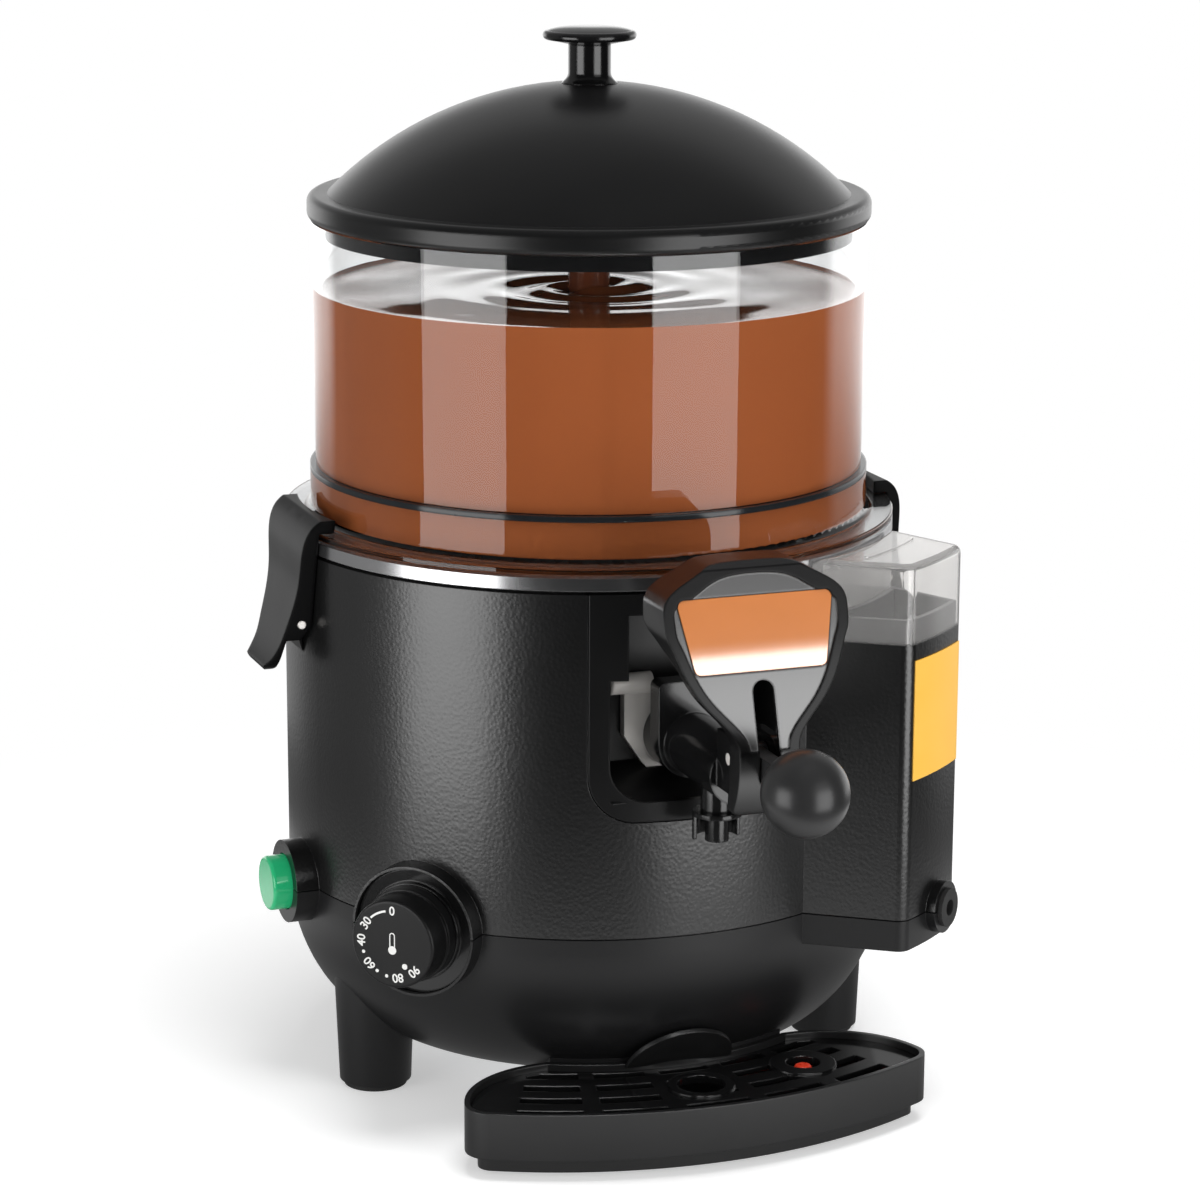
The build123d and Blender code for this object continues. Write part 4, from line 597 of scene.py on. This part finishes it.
def revolved(
    section: Sequence[Span], steps: int, lift: Callable[[float, float, float], float]
) -> tuple[list[Vector], list[Face]]:
    """Closed solid of revolution about the body's axis.

    Args:
        section: radius and height of the points of the closed section, in order.
        steps: how many sections make the turn.
        lift: height added at a radius, an angle in radians and a height.

    Returns:
        Its corners and its faces.
    """
    corners = []
    for step in range(steps):
        turn = FULL_TURN * step / steps
        for radius, height in section:
            raised = height + lift(radius, turn, height)
            corners.append(Vector((radius * math.sin(turn), -radius * math.cos(turn), raised)))
    count = len(section)
    faces = []
    for step in range(steps):
        here, there = step * count, (step + 1) % steps * count
        for index in range(count):
            after = (index + 1) % count
            faces.append((here + index, there + index, there + after, here + after))
    return corners, faces


@dataclass
class Casing:
    """Shells, feet, bottom plate, filler column and its cover."""

    def dress(self) -> None:
        """Finish every piece of the casing. The clear cover casts no shadow."""
        dress(CASING, "upper_shell")
        dress(DISH, "lower_shell", "tray_bracket", "latch_lugs")
        dress(SATIN, "tap_panel")
        dress(RUBBER, "foot_pads", "cord_gland")
        dress(DRIVE, "base_plate")
        dress(WIRE, "base_screws")
        dress(AMBER, "side_label")
        dress(CLOUDED, "filler_cover")
        frame["nodes"]["filler_cover"].visible_shadow = False


@dataclass
class Vessel:
    """Pot, jacket and heater below, clear collar and bowl above."""

    def dress(self) -> None:
        """Finish every piece of the vessel. The clear ones cast no shadow on the drink."""
        dress(TURNED_STEEL, "product_pot", "water_jacket")
        dress(BRIGHT_STEEL, "heating_element")
        dress(RUBBER, "pot_seal", "bowl_gasket")
        dress(SEAM, "seam_ring")
        dress(CLEAR, "bowl", "bowl_collar")
        for node in ("bowl", "bowl_collar"):
            frame["nodes"][node].visible_shadow = False


@dataclass
class Mixer:
    """Drive under the vessel and the stirrer in it."""

    def dress(self) -> None:
        """Finish the drive and the stirrer."""
        dress(DRIVE, "gearbox", "motor")
        dress(BRIGHT_STEEL, "shaft_tube", "drive_shaft")
        dress(COCOA_FILM, "stirrer")


@dataclass
class Drink:
    """Milk chocolate in the pot and the bowl, swirled by the stirrer."""

    level: float = 351.0 * MM
    depth: float = 136.0 * MM
    wet: float = 0.15 * MM
    flange_share: float = 0.15
    column_gap: float = 0.5 * MM
    column_reach: float = 40.0 * MM
    steps: int = 240
    top_rings: int = 90
    top_facing: float = 0.5
    sharp: float = 50.0
    swirl_height: float = 1.5 * MM
    swirl_pitch: float = 24.0 * MM
    swirl_fade: float = 24.0 * MM
    swirl_arms: int = 2
    slow_height: float = 1.0 * MM
    slow_size: float = 52.0 * MM
    meniscus: float = 1.3 * MM
    meniscus_width: float = 2.0 * MM
    calm_widths: float = 6.0
    wall: float = field(init=False)
    hole: float = field(init=False)

    def build(self) -> bpy.types.Object:
        """Make the drink as one closed body with a rippled top.

        Returns:
            The piece.
        """
        corners, faces = revolved(self._section(), self.steps, self._ripple)
        drink = new_piece("milk_chocolate", corners, faces, "base", COCOA, self.sharp)
        drink.data.materials.append(Palette.material(COCOA_TOP))
        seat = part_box("bowl")[0].z
        for face in drink.data.polygons:
            face.material_index = int(face.normal.z > self.top_facing and face.center.z > seat)
        return drink

    def _section(self) -> list[Span]:
        """Find the walls that hold the drink, and its half section between them.

        Returns:
            Radius and height of the section's points, round from the stirrer's column.
        """
        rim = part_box("product_pot")[1].z
        flange, collar_top = (corner.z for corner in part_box("bowl_collar"))
        seat, top = (corner.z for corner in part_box("bowl"))
        pot = radii_at("product_pot", rim)[0] + self.wet
        throat = radii_at("bowl_collar", flange)[0] + self.wet
        foot = radii_at("bowl", seat)[0]
        mouth = radii_at("bowl", top)[0]
        self.wall = foot + (mouth - foot) * (self.level - seat) / (top - seat) + self.wet
        self.hole = radii_at("stirrer", self.level, self.column_reach)[-1] + self.column_gap
        ledge = flange + (collar_top - flange) * self.flange_share - self.wet
        floor = self.level - self.depth
        section = [
            (self.hole, floor),
            (pot, floor),
            (pot, rim - self.wet),
            (throat, rim - self.wet),
            (throat, ledge),
            (foot + self.wet, ledge),
            (foot + self.wet, seat),
        ]
        for ring in range(self.top_rings):
            share = ring / (self.top_rings - 1)
            section.append((self.wall + (self.hole - self.wall) * share, self.level))
        return section

    def _ripple(self, radius: float, turn: float, height: float) -> float:
        """Height of the drink's top over its level.

        Args:
            radius: distance from the axis.
            turn: angle about the axis, in radians.
            height: nominal height, which tells the top from the sides.

        Returns:
            The height to add.
        """
        if height < self.level:
            return 0.0
        out = radius - self.hole
        wave = math.cos(FULL_TURN * out / self.swirl_pitch - self.swirl_arms * turn)
        swirl = self.swirl_height * wave * math.exp(-out / self.swirl_fade)
        spot = Vector((radius * math.sin(turn), radius * math.cos(turn), 0.0)) / self.slow_size
        slow = self.slow_height * noise.noise(spot)
        inward = (self.wall - radius) / self.meniscus_width
        calm = min(1.0, inward / self.calm_widths)
        return (swirl + slow) * calm + self.meniscus * math.exp(-inward)


@dataclass
class Lid:
    """Domed lid with its knob."""

    def dress(self) -> None:
        """Finish the lid."""
        dress(LID, "lid_dome")
        dress(GLOSS, "lid_knob")
        dress(WIRE, "knob_screw")


@dataclass
class Tap:
    """Tap with its lock, lever, piston and cover."""

    spring_turns: float = 4.0
    spring_radius: float = 5.4 * MM
    spring_wire: float = 1.0 * MM
    steps_in_turn: int = 28
    wire_sides: int = 10

    def dress(self) -> None:
        """Finish the tap's pieces."""
        dress(GLOSS, "tap_body", "nozzle", "tap_piston")
        dress(BALL, "tap_lever")
        dress(SATIN_STEEL, "tap_lock", "lever_pin")
        dress(RUBBER, "tap_seal", "piston_ring")
        dress(COWL, "tap_cover")
        dress(BRONZE, "badge_panel")
        dress(WIRE, "piston_spring")

    def build_spring(self) -> bpy.types.Object:
        """Wind the piston's spring, fixed at its rest length.

        Returns:
            The piece.
        """
        low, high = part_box("piston_spring")
        corners, faces = self._coil(low, high)
        spring = new_piece("tap_spring", corners, faces, "base", WIRE)
        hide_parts("piston_spring")
        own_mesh(spring)
        return spring

    def _coil(self, low: Vector, high: Vector) -> tuple[list[Vector], list[Face]]:
        """Round wire wound about the piston.

        Args:
            low: least corner of the box that it fills.
            high: greatest corner of that box.

        Returns:
            Its corners and its faces.
        """
        middle = (low + high) / 2.0
        half = self.spring_wire / 2.0
        start, end = high.y - half, low.y + half
        steps = round(self.spring_turns * self.steps_in_turn)
        sides = self.wire_sides
        corners = []
        for step in range(steps + 1):
            share = step / steps
            turn = FULL_TURN * self.spring_turns * share
            radial = Vector((math.cos(turn), 0.0, math.sin(turn)))
            core = Vector((middle.x, start + (end - start) * share, middle.z))
            for side in range(sides):
                around = FULL_TURN * side / sides
                offset = radial * math.cos(around) + Vector((0.0, math.sin(around), 0.0))
                corners.append(core + radial * self.spring_radius + offset * half)
        faces = []
        for step in range(steps):
            row, after = step * sides, (step + 1) * sides
            for side in range(sides):
                beside = (side + 1) % sides
                faces.append((row + side, row + beside, after + beside, after + side))
        faces.append(tuple(range(sides)))
        faces.append(tuple(reversed(range(steps * sides, (steps + 1) * sides))))
        return corners, faces


@dataclass
class Controls:
    """Thermostat with its marked dial, and the lit switch."""

    mark_ring: float = 14.6 * MM
    mark_height: float = 0.12 * MM
    mark_gap: float = 0.01 * MM
    mark_steps: int = 14
    number_size: float = 5.4 * MM
    number_weight: float = 0.08 * MM
    dot_radius: float = 0.75 * MM
    pointer_radius: float = 1.25 * MM
    pointer_ring: float = 10.8 * MM
    pointer_angle: float = 147.0
    line_width: float = 0.9 * MM
    arc_span: Span = (-44.0, -12.0)
    bulb_radius: float = 1.9 * MM
    stem_half: float = 1.1 * MM
    stem_top: float = 3.8 * MM
    stem_cap_span: Span = (90.0, -90.0)
    stem_foot_share: float = 0.7
    bulb_drop: float = 2.6 * MM

    NUMBERS: ClassVar[dict[str, float]] = {
        "0": 0.0, "30": -58.0, "40": -90.0, "60": -132.0, "80": 170.0, "90": 136.0,
    }
    DOTS: ClassVar[tuple[float, ...]] = (-110.0, -150.0, -169.0)

    def dress(self) -> None:
        """Finish the dial and the switch."""
        dress(SWITCHGEAR, "thermostat_body", "switch_body")
        dress(GLOSS, "thermostat_bezel")
        dress(SATIN, "thermostat_knob")
        dress(GREEN, "switch_button")

    def build_marks(self) -> bpy.types.Object:
        """Print the numbers, dots, arc and thermometer on the dial's face.

        Returns:
            The piece.
        """
        corners, faces = [], []
        for strip in self._strips():
            self._emboss(strip, corners, faces)
        for text, angle in self.NUMBERS.items():
            self._type(angle, text, corners, faces)
        turn = joint("thermostat_turn")
        ahead = Vector(turn["axis"]).normalized()
        up = Vector((0.0, 0.0, 1.0))
        aside = up.cross(ahead)
        knob = frame["nodes"]["thermostat_knob"].data.vertices
        anchor = Vector(turn["pos_m"])
        face = max((corner.co - anchor).dot(ahead) for corner in knob)
        origin = anchor + ahead * (face + self.mark_gap)
        placed = [origin + aside * c.x + up * c.y + ahead * c.z for c in corners]
        return new_piece("dial_marks", placed, faces, "thermostat", INK)

    def _strips(self) -> list[Strip]:
        """Draw the dots, the pointer, the arc and the thermometer.

        Returns:
            The marks, each a row of left and right points.
        """
        half = self.line_width / 2.0
        marks = [self._disc(self._at(angle, self.mark_ring), self.dot_radius) for angle in self.DOTS]
        pointer = self._at(self.pointer_angle, self.pointer_ring)
        marks.append(self._disc(pointer, self.pointer_radius))
        marks.append(self._disc(Vector((0.0, -self.bulb_drop)), self.bulb_radius))
        marks.append(self._arc(self.arc_span, (self.mark_ring - half, self.mark_ring + half)))
        inner, outer = self.stem_half - half / 2.0, self.stem_half + half / 2.0
        foot = self.bulb_radius * self.stem_foot_share - self.bulb_drop
        head = Vector((0.0, self.stem_top))
        stem = [(Vector((inner, foot)), Vector((outer, foot)))]
        cap = self._arc(self.stem_cap_span, (inner, outer))
        stem += [(head + near, head + far) for near, far in cap]
        stem.append((Vector((-inner, foot)), Vector((-outer, foot))))
        marks.append(stem)
        return marks

    def _arc(self, span: Span, reach: Span) -> Strip:
        """Arc about the middle of the dial's face.

        Args:
            span: degrees from the dial's top at which it begins and ends.
            reach: its inner and its outer radius.

        Returns:
            Its inner and outer points.
        """
        first, last = span
        turns = (first + (last - first) * step / self.mark_steps for step in range(self.mark_steps + 1))
        return [(self._at(turn, reach[0]), self._at(turn, reach[1])) for turn in turns]

    @staticmethod
    def _at(angle: float, reach: float) -> Vector:
        """Point on the dial's face at an angle in degrees from its top."""
        turn = math.radians(angle)
        return Vector((reach * math.sin(turn), reach * math.cos(turn)))

    def _disc(self, centre: Vector, radius: float) -> Strip:
        """Disc on the dial's face.

        Args:
            centre: its middle.
            radius: its radius.

        Returns:
            Its left and right points, from its bottom to its top.
        """
        row = []
        for step in range(1, self.mark_steps):
            turn = math.pi * step / self.mark_steps
            wide, high = radius * math.sin(turn), -radius * math.cos(turn)
            row.append((centre + Vector((-wide, high)), centre + Vector((wide, high))))
        return row

    def _emboss(self, strip: Strip, corners: list[Vector], faces: list[Face]) -> None:
        """Raise a strip off the dial's face.

        Args:
            strip: its left and right points.
            corners: list that its points join.
            faces: list that its faces join.
        """
        first, sides = len(corners), 4
        base, top = 0.0, self.mark_height
        for left, right in strip:
            for flat, height in ((left, base), (right, base), (right, top), (left, top)):
                corners.append(Vector((flat.x, flat.y, height)))
        last = len(corners) - sides
        for here in range(first, last, sides):
            there = here + sides
            for side in range(sides):
                after = (side + 1) % sides
                faces.append((here + side, here + after, there + after, there + side))
        faces.append(tuple(reversed(range(first, first + sides))))
        faces.append(tuple(range(last, last + sides)))

    def _type(self, angle: float, text: str, corners: list[Vector], faces: list[Face]) -> None:
        """Set a number with its top outward.

        Args:
            angle: degrees from the dial's top.
            text: the number.
            corners: list that its points join.
            faces: list that its faces join.
        """
        type_set = bpy.data.curves.new("number", "FONT")
        type_set.body = text
        type_set.size = self.number_size
        type_set.align_x = "CENTER"
        type_set.align_y = "CENTER"
        type_set.extrude = self.mark_height / 2.0
        type_set.offset = self.number_weight
        holder = bpy.data.objects.new("number", type_set)
        bpy.context.scene.collection.objects.link(holder)
        shaped = holder.evaluated_get(bpy.context.evaluated_depsgraph_get())
        letters = bpy.data.meshes.new_from_object(shaped)
        spot = self._at(angle, self.mark_ring)
        move = Matrix.Translation((spot.x, spot.y, self.mark_height / 2.0))
        move = move @ Matrix.Rotation(math.radians(-angle), 4, "Z")
        first = len(corners)
        corners += [move @ corner.co for corner in letters.vertices]
        faces += [tuple(first + number for number in face.vertices) for face in letters.polygons]
        bpy.data.objects.remove(holder)
        bpy.data.curves.remove(type_set)
        bpy.data.meshes.remove(letters)


@dataclass
class Latches:
    """Two side latches that hold the bowl down."""

    def dress(self) -> None:
        """Finish the latches and their pins."""
        dress(LATCH, "left_latch", "right_latch")
        dress(SATIN_STEEL, "latch_pins")


@dataclass
class DripTray:
    """Drip tray with its slotted grid and its float."""

    def dress(self) -> None:
        """Finish the tray."""
        dress(TRAY, "drip_tray")
        dress(GLOSS, "drip_grid")
        dress(RED, "tray_float")


def hang(light: bpy.types.AreaLight, place: Vector, away: Vector) -> bpy.types.Object:
    """Hang a lamp that the camera doesn't see.

    Args:
        light: the light in it.
        place: where it hangs.
        away: direction from what it lights towards it.

    Returns:
        The lamp.
    """
    lamp = bpy.data.objects.new(light.name, light)
    lamp.location = place
    lamp.rotation_euler = away.to_track_quat("Z", "Y").to_euler()
    lamp.visible_camera = False
    bpy.context.scene.collection.objects.link(lamp)
    log.info("%s hung", light.name)
    return lamp


@dataclass(frozen=True)
class Softbox:
    """One soft lamp, upright and turned to the object. It may light only the sheen of some nodes."""

    name: str
    azimuth: float
    distance: float
    bottom: float
    top: float
    width: float
    radiance: float
    only: tuple[str, ...] = ()

    def build(self) -> bpy.types.Object:
        """Hang the lamp.

        Returns:
            The lamp.
        """
        height = self.top - self.bottom
        light = bpy.data.lights.new(self.name, "AREA")
        light.shape = "RECTANGLE"
        light.size, light.size_y = self.width, height
        light.energy = self.radiance * math.pi * self.width * height
        away = outward(self.azimuth)
        middle = Vector((0.0, 0.0, (self.bottom + self.top) / 2.0))
        lamp = hang(light, away * self.distance + middle, away)
        if self.only:
            lit = bpy.data.collections.new(self.name)
            for node in self.only:
                lit.objects.link(frame["nodes"][node])
            lamp.light_linking.receiver_collection = lit
            lamp.visible_diffuse = False
        return lamp


@dataclass
class Studio:
    """White table, soft lamps, pale air and the camera at the photograph's angle.

    A ray that glossy surfaces sent on fewer times than straight_depth counts as straight.
    """

    table_steps: int = 96
    table_rings: tuple[float, ...] = (0.06, 0.12, 0.2, 0.3, 0.4, 0.5, 0.6)
    table_colour: Colour = (0.80, 0.80, 0.80)
    table_glow: float = 0.45
    # Painted table reflection: painted shadow under the object, painted bright ring beside it, dim edge
    # beyond.
    painted_table_reflection: tuple[float, float, float] = (0.25, 0.9, 0.12)
    painted_shadow_reach: Span = (0.18, 0.34)
    painted_dim_reach: Span = (0.34, 0.44)
    plain_reach: Span = (0.30, 0.58)
    plain_white: float = 1.0
    ambient: float = 0.36
    straight_depth: float = 0.5
    side_air: Span = (0.015, 0.22)
    side_span: Span = (-0.1, 0.4)
    back_air: float = 1.55
    back_way: Point = (0.454, 0.891, 0.0)
    back_span: Span = (0.47, 0.66)
    low_share: float = 0.28
    low_span: Span = (-0.215, -0.165)
    high_span: Span = (0.10, 0.30)
    top_air: float = 0.12
    top_span: Span = (0.4, 0.9)
    top_light_place: Point = (0.10, -0.25, 1.6)
    top_light_aim: Point = (0.0, 0.0, 0.3)
    top_light_size: float = 0.9
    top_light_power: float = 17.0
    camera_place: Point = (-0.57190, -1.57128, 0.61317)
    camera_turn: Point = (76.38405544, -0.20755952, -20.13533455)
    camera_lens: float = 114.4667

    LAMPS: ClassVar[tuple[Softbox, ...]] = (
        Softbox(
            "left_softbox", azimuth=-70.8, distance=1.36,
            bottom=-0.60, top=0.55, width=0.90, radiance=3.3,
        ),
        Softbox(
            "right_softbox", azimuth=23.1, distance=1.36,
            bottom=-0.60, top=0.55, width=0.89, radiance=3.3,
        ),
        Softbox(
            "right_top_softbox", azimuth=23.1, distance=1.36,
            bottom=0.55, top=1.10, width=0.89, radiance=0.7,
        ),
        Softbox(
            "badge_strip", azimuth=20.0, distance=1.15,
            bottom=0.24, top=0.40, width=0.46, radiance=26.0, only=("badge_panel",),
        ),
        Softbox(
            "tray_strip", azimuth=-5.0, distance=0.75,
            bottom=0.95, top=2.10, width=0.9, radiance=10.0,
            only=("drip_grid", "drip_tray", "tray_float"),
        ),
    )

    def build(self) -> None:
        """Set up the floor, the air, the lamps, the camera and the view transform."""
        self._floor()
        self._air()
        for lamp in self.LAMPS:
            lamp.build()
        self._top_light()
        self._camera()
        bpy.context.scene.view_settings.view_transform = "Standard"

    def _top_light(self) -> None:
        """Hang a soft light over the object, which mirrors don't show."""
        light = bpy.data.lights.new("top_light", "AREA")
        light.shape = "DISK"
        light.size = self.top_light_size
        light.energy = self.top_light_power
        place = Vector(self.top_light_place)
        hang(light, place, place - Vector(self.top_light_aim)).visible_glossy = False

    def _floor(self) -> None:
        """Lay a round pale table that fades to plain white at its edge."""
        corners, faces = [Vector((0.0, 0.0, 0.0))], []
        for radius in self.table_rings:
            for step in range(self.table_steps):
                turn = FULL_TURN * step / self.table_steps
                corners.append(Vector((radius * math.cos(turn), radius * math.sin(turn), 0.0)))
        for step in range(self.table_steps):
            after = (step + 1) % self.table_steps
            faces.append((0, 1 + step, 1 + after))
            for ring in range(len(self.table_rings) - 1):
                here, there = 1 + ring * self.table_steps, 1 + (ring + 1) * self.table_steps
                faces.append((here + step, there + step, there + after, here + after))
        mesh = bpy.data.meshes.new("studio_table")
        mesh.from_pydata([tuple(corner) for corner in corners], [], faces)
        mesh.materials.append(self._floor_material())
        table = bpy.data.objects.new("studio_table", mesh)
        bpy.context.scene.collection.objects.link(table)

    def _floor_material(self) -> bpy.types.Material:
        """Pale table: shadowed near the object, plain white further out, painted shade and light in
        mirrors.

        Returns:
            The material.
        """
        material = bpy.data.materials.new("pale_table")
        material.use_nodes = True
        material.node_tree.nodes.clear()
        sketch = NodeSketch(material.node_tree)
        place = sketch.add("ShaderNodeTexCoord").outputs["Object"]
        reach = sketch.vectors("LENGTH", "Value", place)
        paper = sketch.add("ShaderNodeBsdfDiffuse", {"Color": opaque(self.table_colour)})
        glow = sketch.white("Emission", self.table_glow)
        near = sketch.add("ShaderNodeAddShader", {0: paper.outputs["BSDF"], 1: glow}).outputs["Shader"]
        plain = sketch.ramp(reach, self.plain_reach, (0.0, 1.0))
        seen = sketch.blend(plain, near, sketch.white("Emission", self.plain_white))
        # Mirrors see painted levels, not the lit table: painted shadow under the object, painted light
        # beside it.
        under, beside, beyond = self.painted_table_reflection
        inner = sketch.ramp(reach, self.painted_shadow_reach, (under, beside))
        outer = sketch.ramp(reach, self.painted_dim_reach, (beside, beyond))
        mirrored = sketch.white("Emission", sketch.arithmetic("MINIMUM", inner, outer))
        path = sketch.add("ShaderNodeLightPath").outputs
        final = sketch.blend(path["Is Glossy Ray"], seen, mirrored)
        sketch.add("ShaderNodeOutputMaterial", {"Surface": final})
        return material

    def _air(self) -> None:
        """Fill the room: white to the camera and straight through clear plastic, walls to mirrors."""
        world = bpy.data.worlds.new("studio_air")
        bpy.context.scene.world = world
        world.use_nodes = True
        world.node_tree.nodes.clear()
        sketch = NodeSketch(world.node_tree)
        path = sketch.add("ShaderNodeLightPath").outputs
        straight = sketch.arithmetic("LESS_THAN", path["Glossy Depth"], self.straight_depth)
        through = sketch.arithmetic("MULTIPLY", path["Is Transmission Ray"], straight)
        seen = sketch.arithmetic("MAXIMUM", path["Is Camera Ray"], through)
        fill = sketch.white("Background", self.ambient)
        mirrored = sketch.white("Background", self._walls(sketch))
        other = sketch.blend(path["Is Glossy Ray"], fill, mirrored)
        final = sketch.blend(seen, other, sketch.white("Background", self.plain_white))
        sketch.add("ShaderNodeOutputWorld", {"Surface": final})

    def _walls(self, sketch: NodeSketch) -> Socket:
        """Brightness of the room as mirrors show it, with a band of white wall behind the object.

        Args:
            sketch: tree that the nodes go in.

        Returns:
            The output that carries the brightness.
        """
        way = sketch.add("ShaderNodeTexCoord").outputs["Generated"]
        parts = sketch.add("ShaderNodeSeparateXYZ", {"Vector": way}).outputs
        facing = sketch.vectors("DOT_PRODUCT", "Value", way, self.back_way)
        side = sketch.ramp(parts["Y"], self.side_span, self.side_air)
        sky = sketch.ramp(parts["Z"], self.top_span, (0.0, self.top_air))
        wall = sketch.ramp(facing, self.back_span, (0.0, self.back_air))
        above = sketch.ramp(parts["Z"], self.low_span, (self.low_share, 1.0))
        below = sketch.ramp(parts["Z"], self.high_span, (1.0, self.low_share))
        back = sketch.arithmetic("MULTIPLY", wall, sketch.arithmetic("MINIMUM", above, below))
        return sketch.arithmetic("MAXIMUM", back, sketch.arithmetic("MAXIMUM", side, sky))

    def _camera(self) -> None:
        """Place the camera where the photograph was taken from."""
        data = bpy.data.cameras.new("photo_camera")
        data.lens = self.camera_lens
        camera = bpy.data.objects.new("photo_camera", data)
        camera.location = self.camera_place
        camera.rotation_euler = Euler([math.radians(turn) for turn in self.camera_turn])
        bpy.context.scene.collection.objects.link(camera)
        bpy.context.scene.camera = camera


def main() -> None:
    """Build every sub-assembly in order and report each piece."""
    logging.basicConfig(level=logging.INFO, format="%(message)s")
    Casing().dress()
    Vessel().dress()
    Mixer().dress()
    Drink().build()
    Lid().dress()
    tap = Tap()
    tap.dress()
    tap.build_spring()
    controls = Controls()
    controls.dress()
    controls.build_marks()
    Latches().dress()
    DripTray().dress()
    Studio().build()
    made = Palette.made()
    bare = [name for name, node in frame["nodes"].items() if node.data.materials[0] not in made]
    if bare:
        raise RuntimeError(f"no finish on {bare}")


if __name__ == "__main__":
    main()
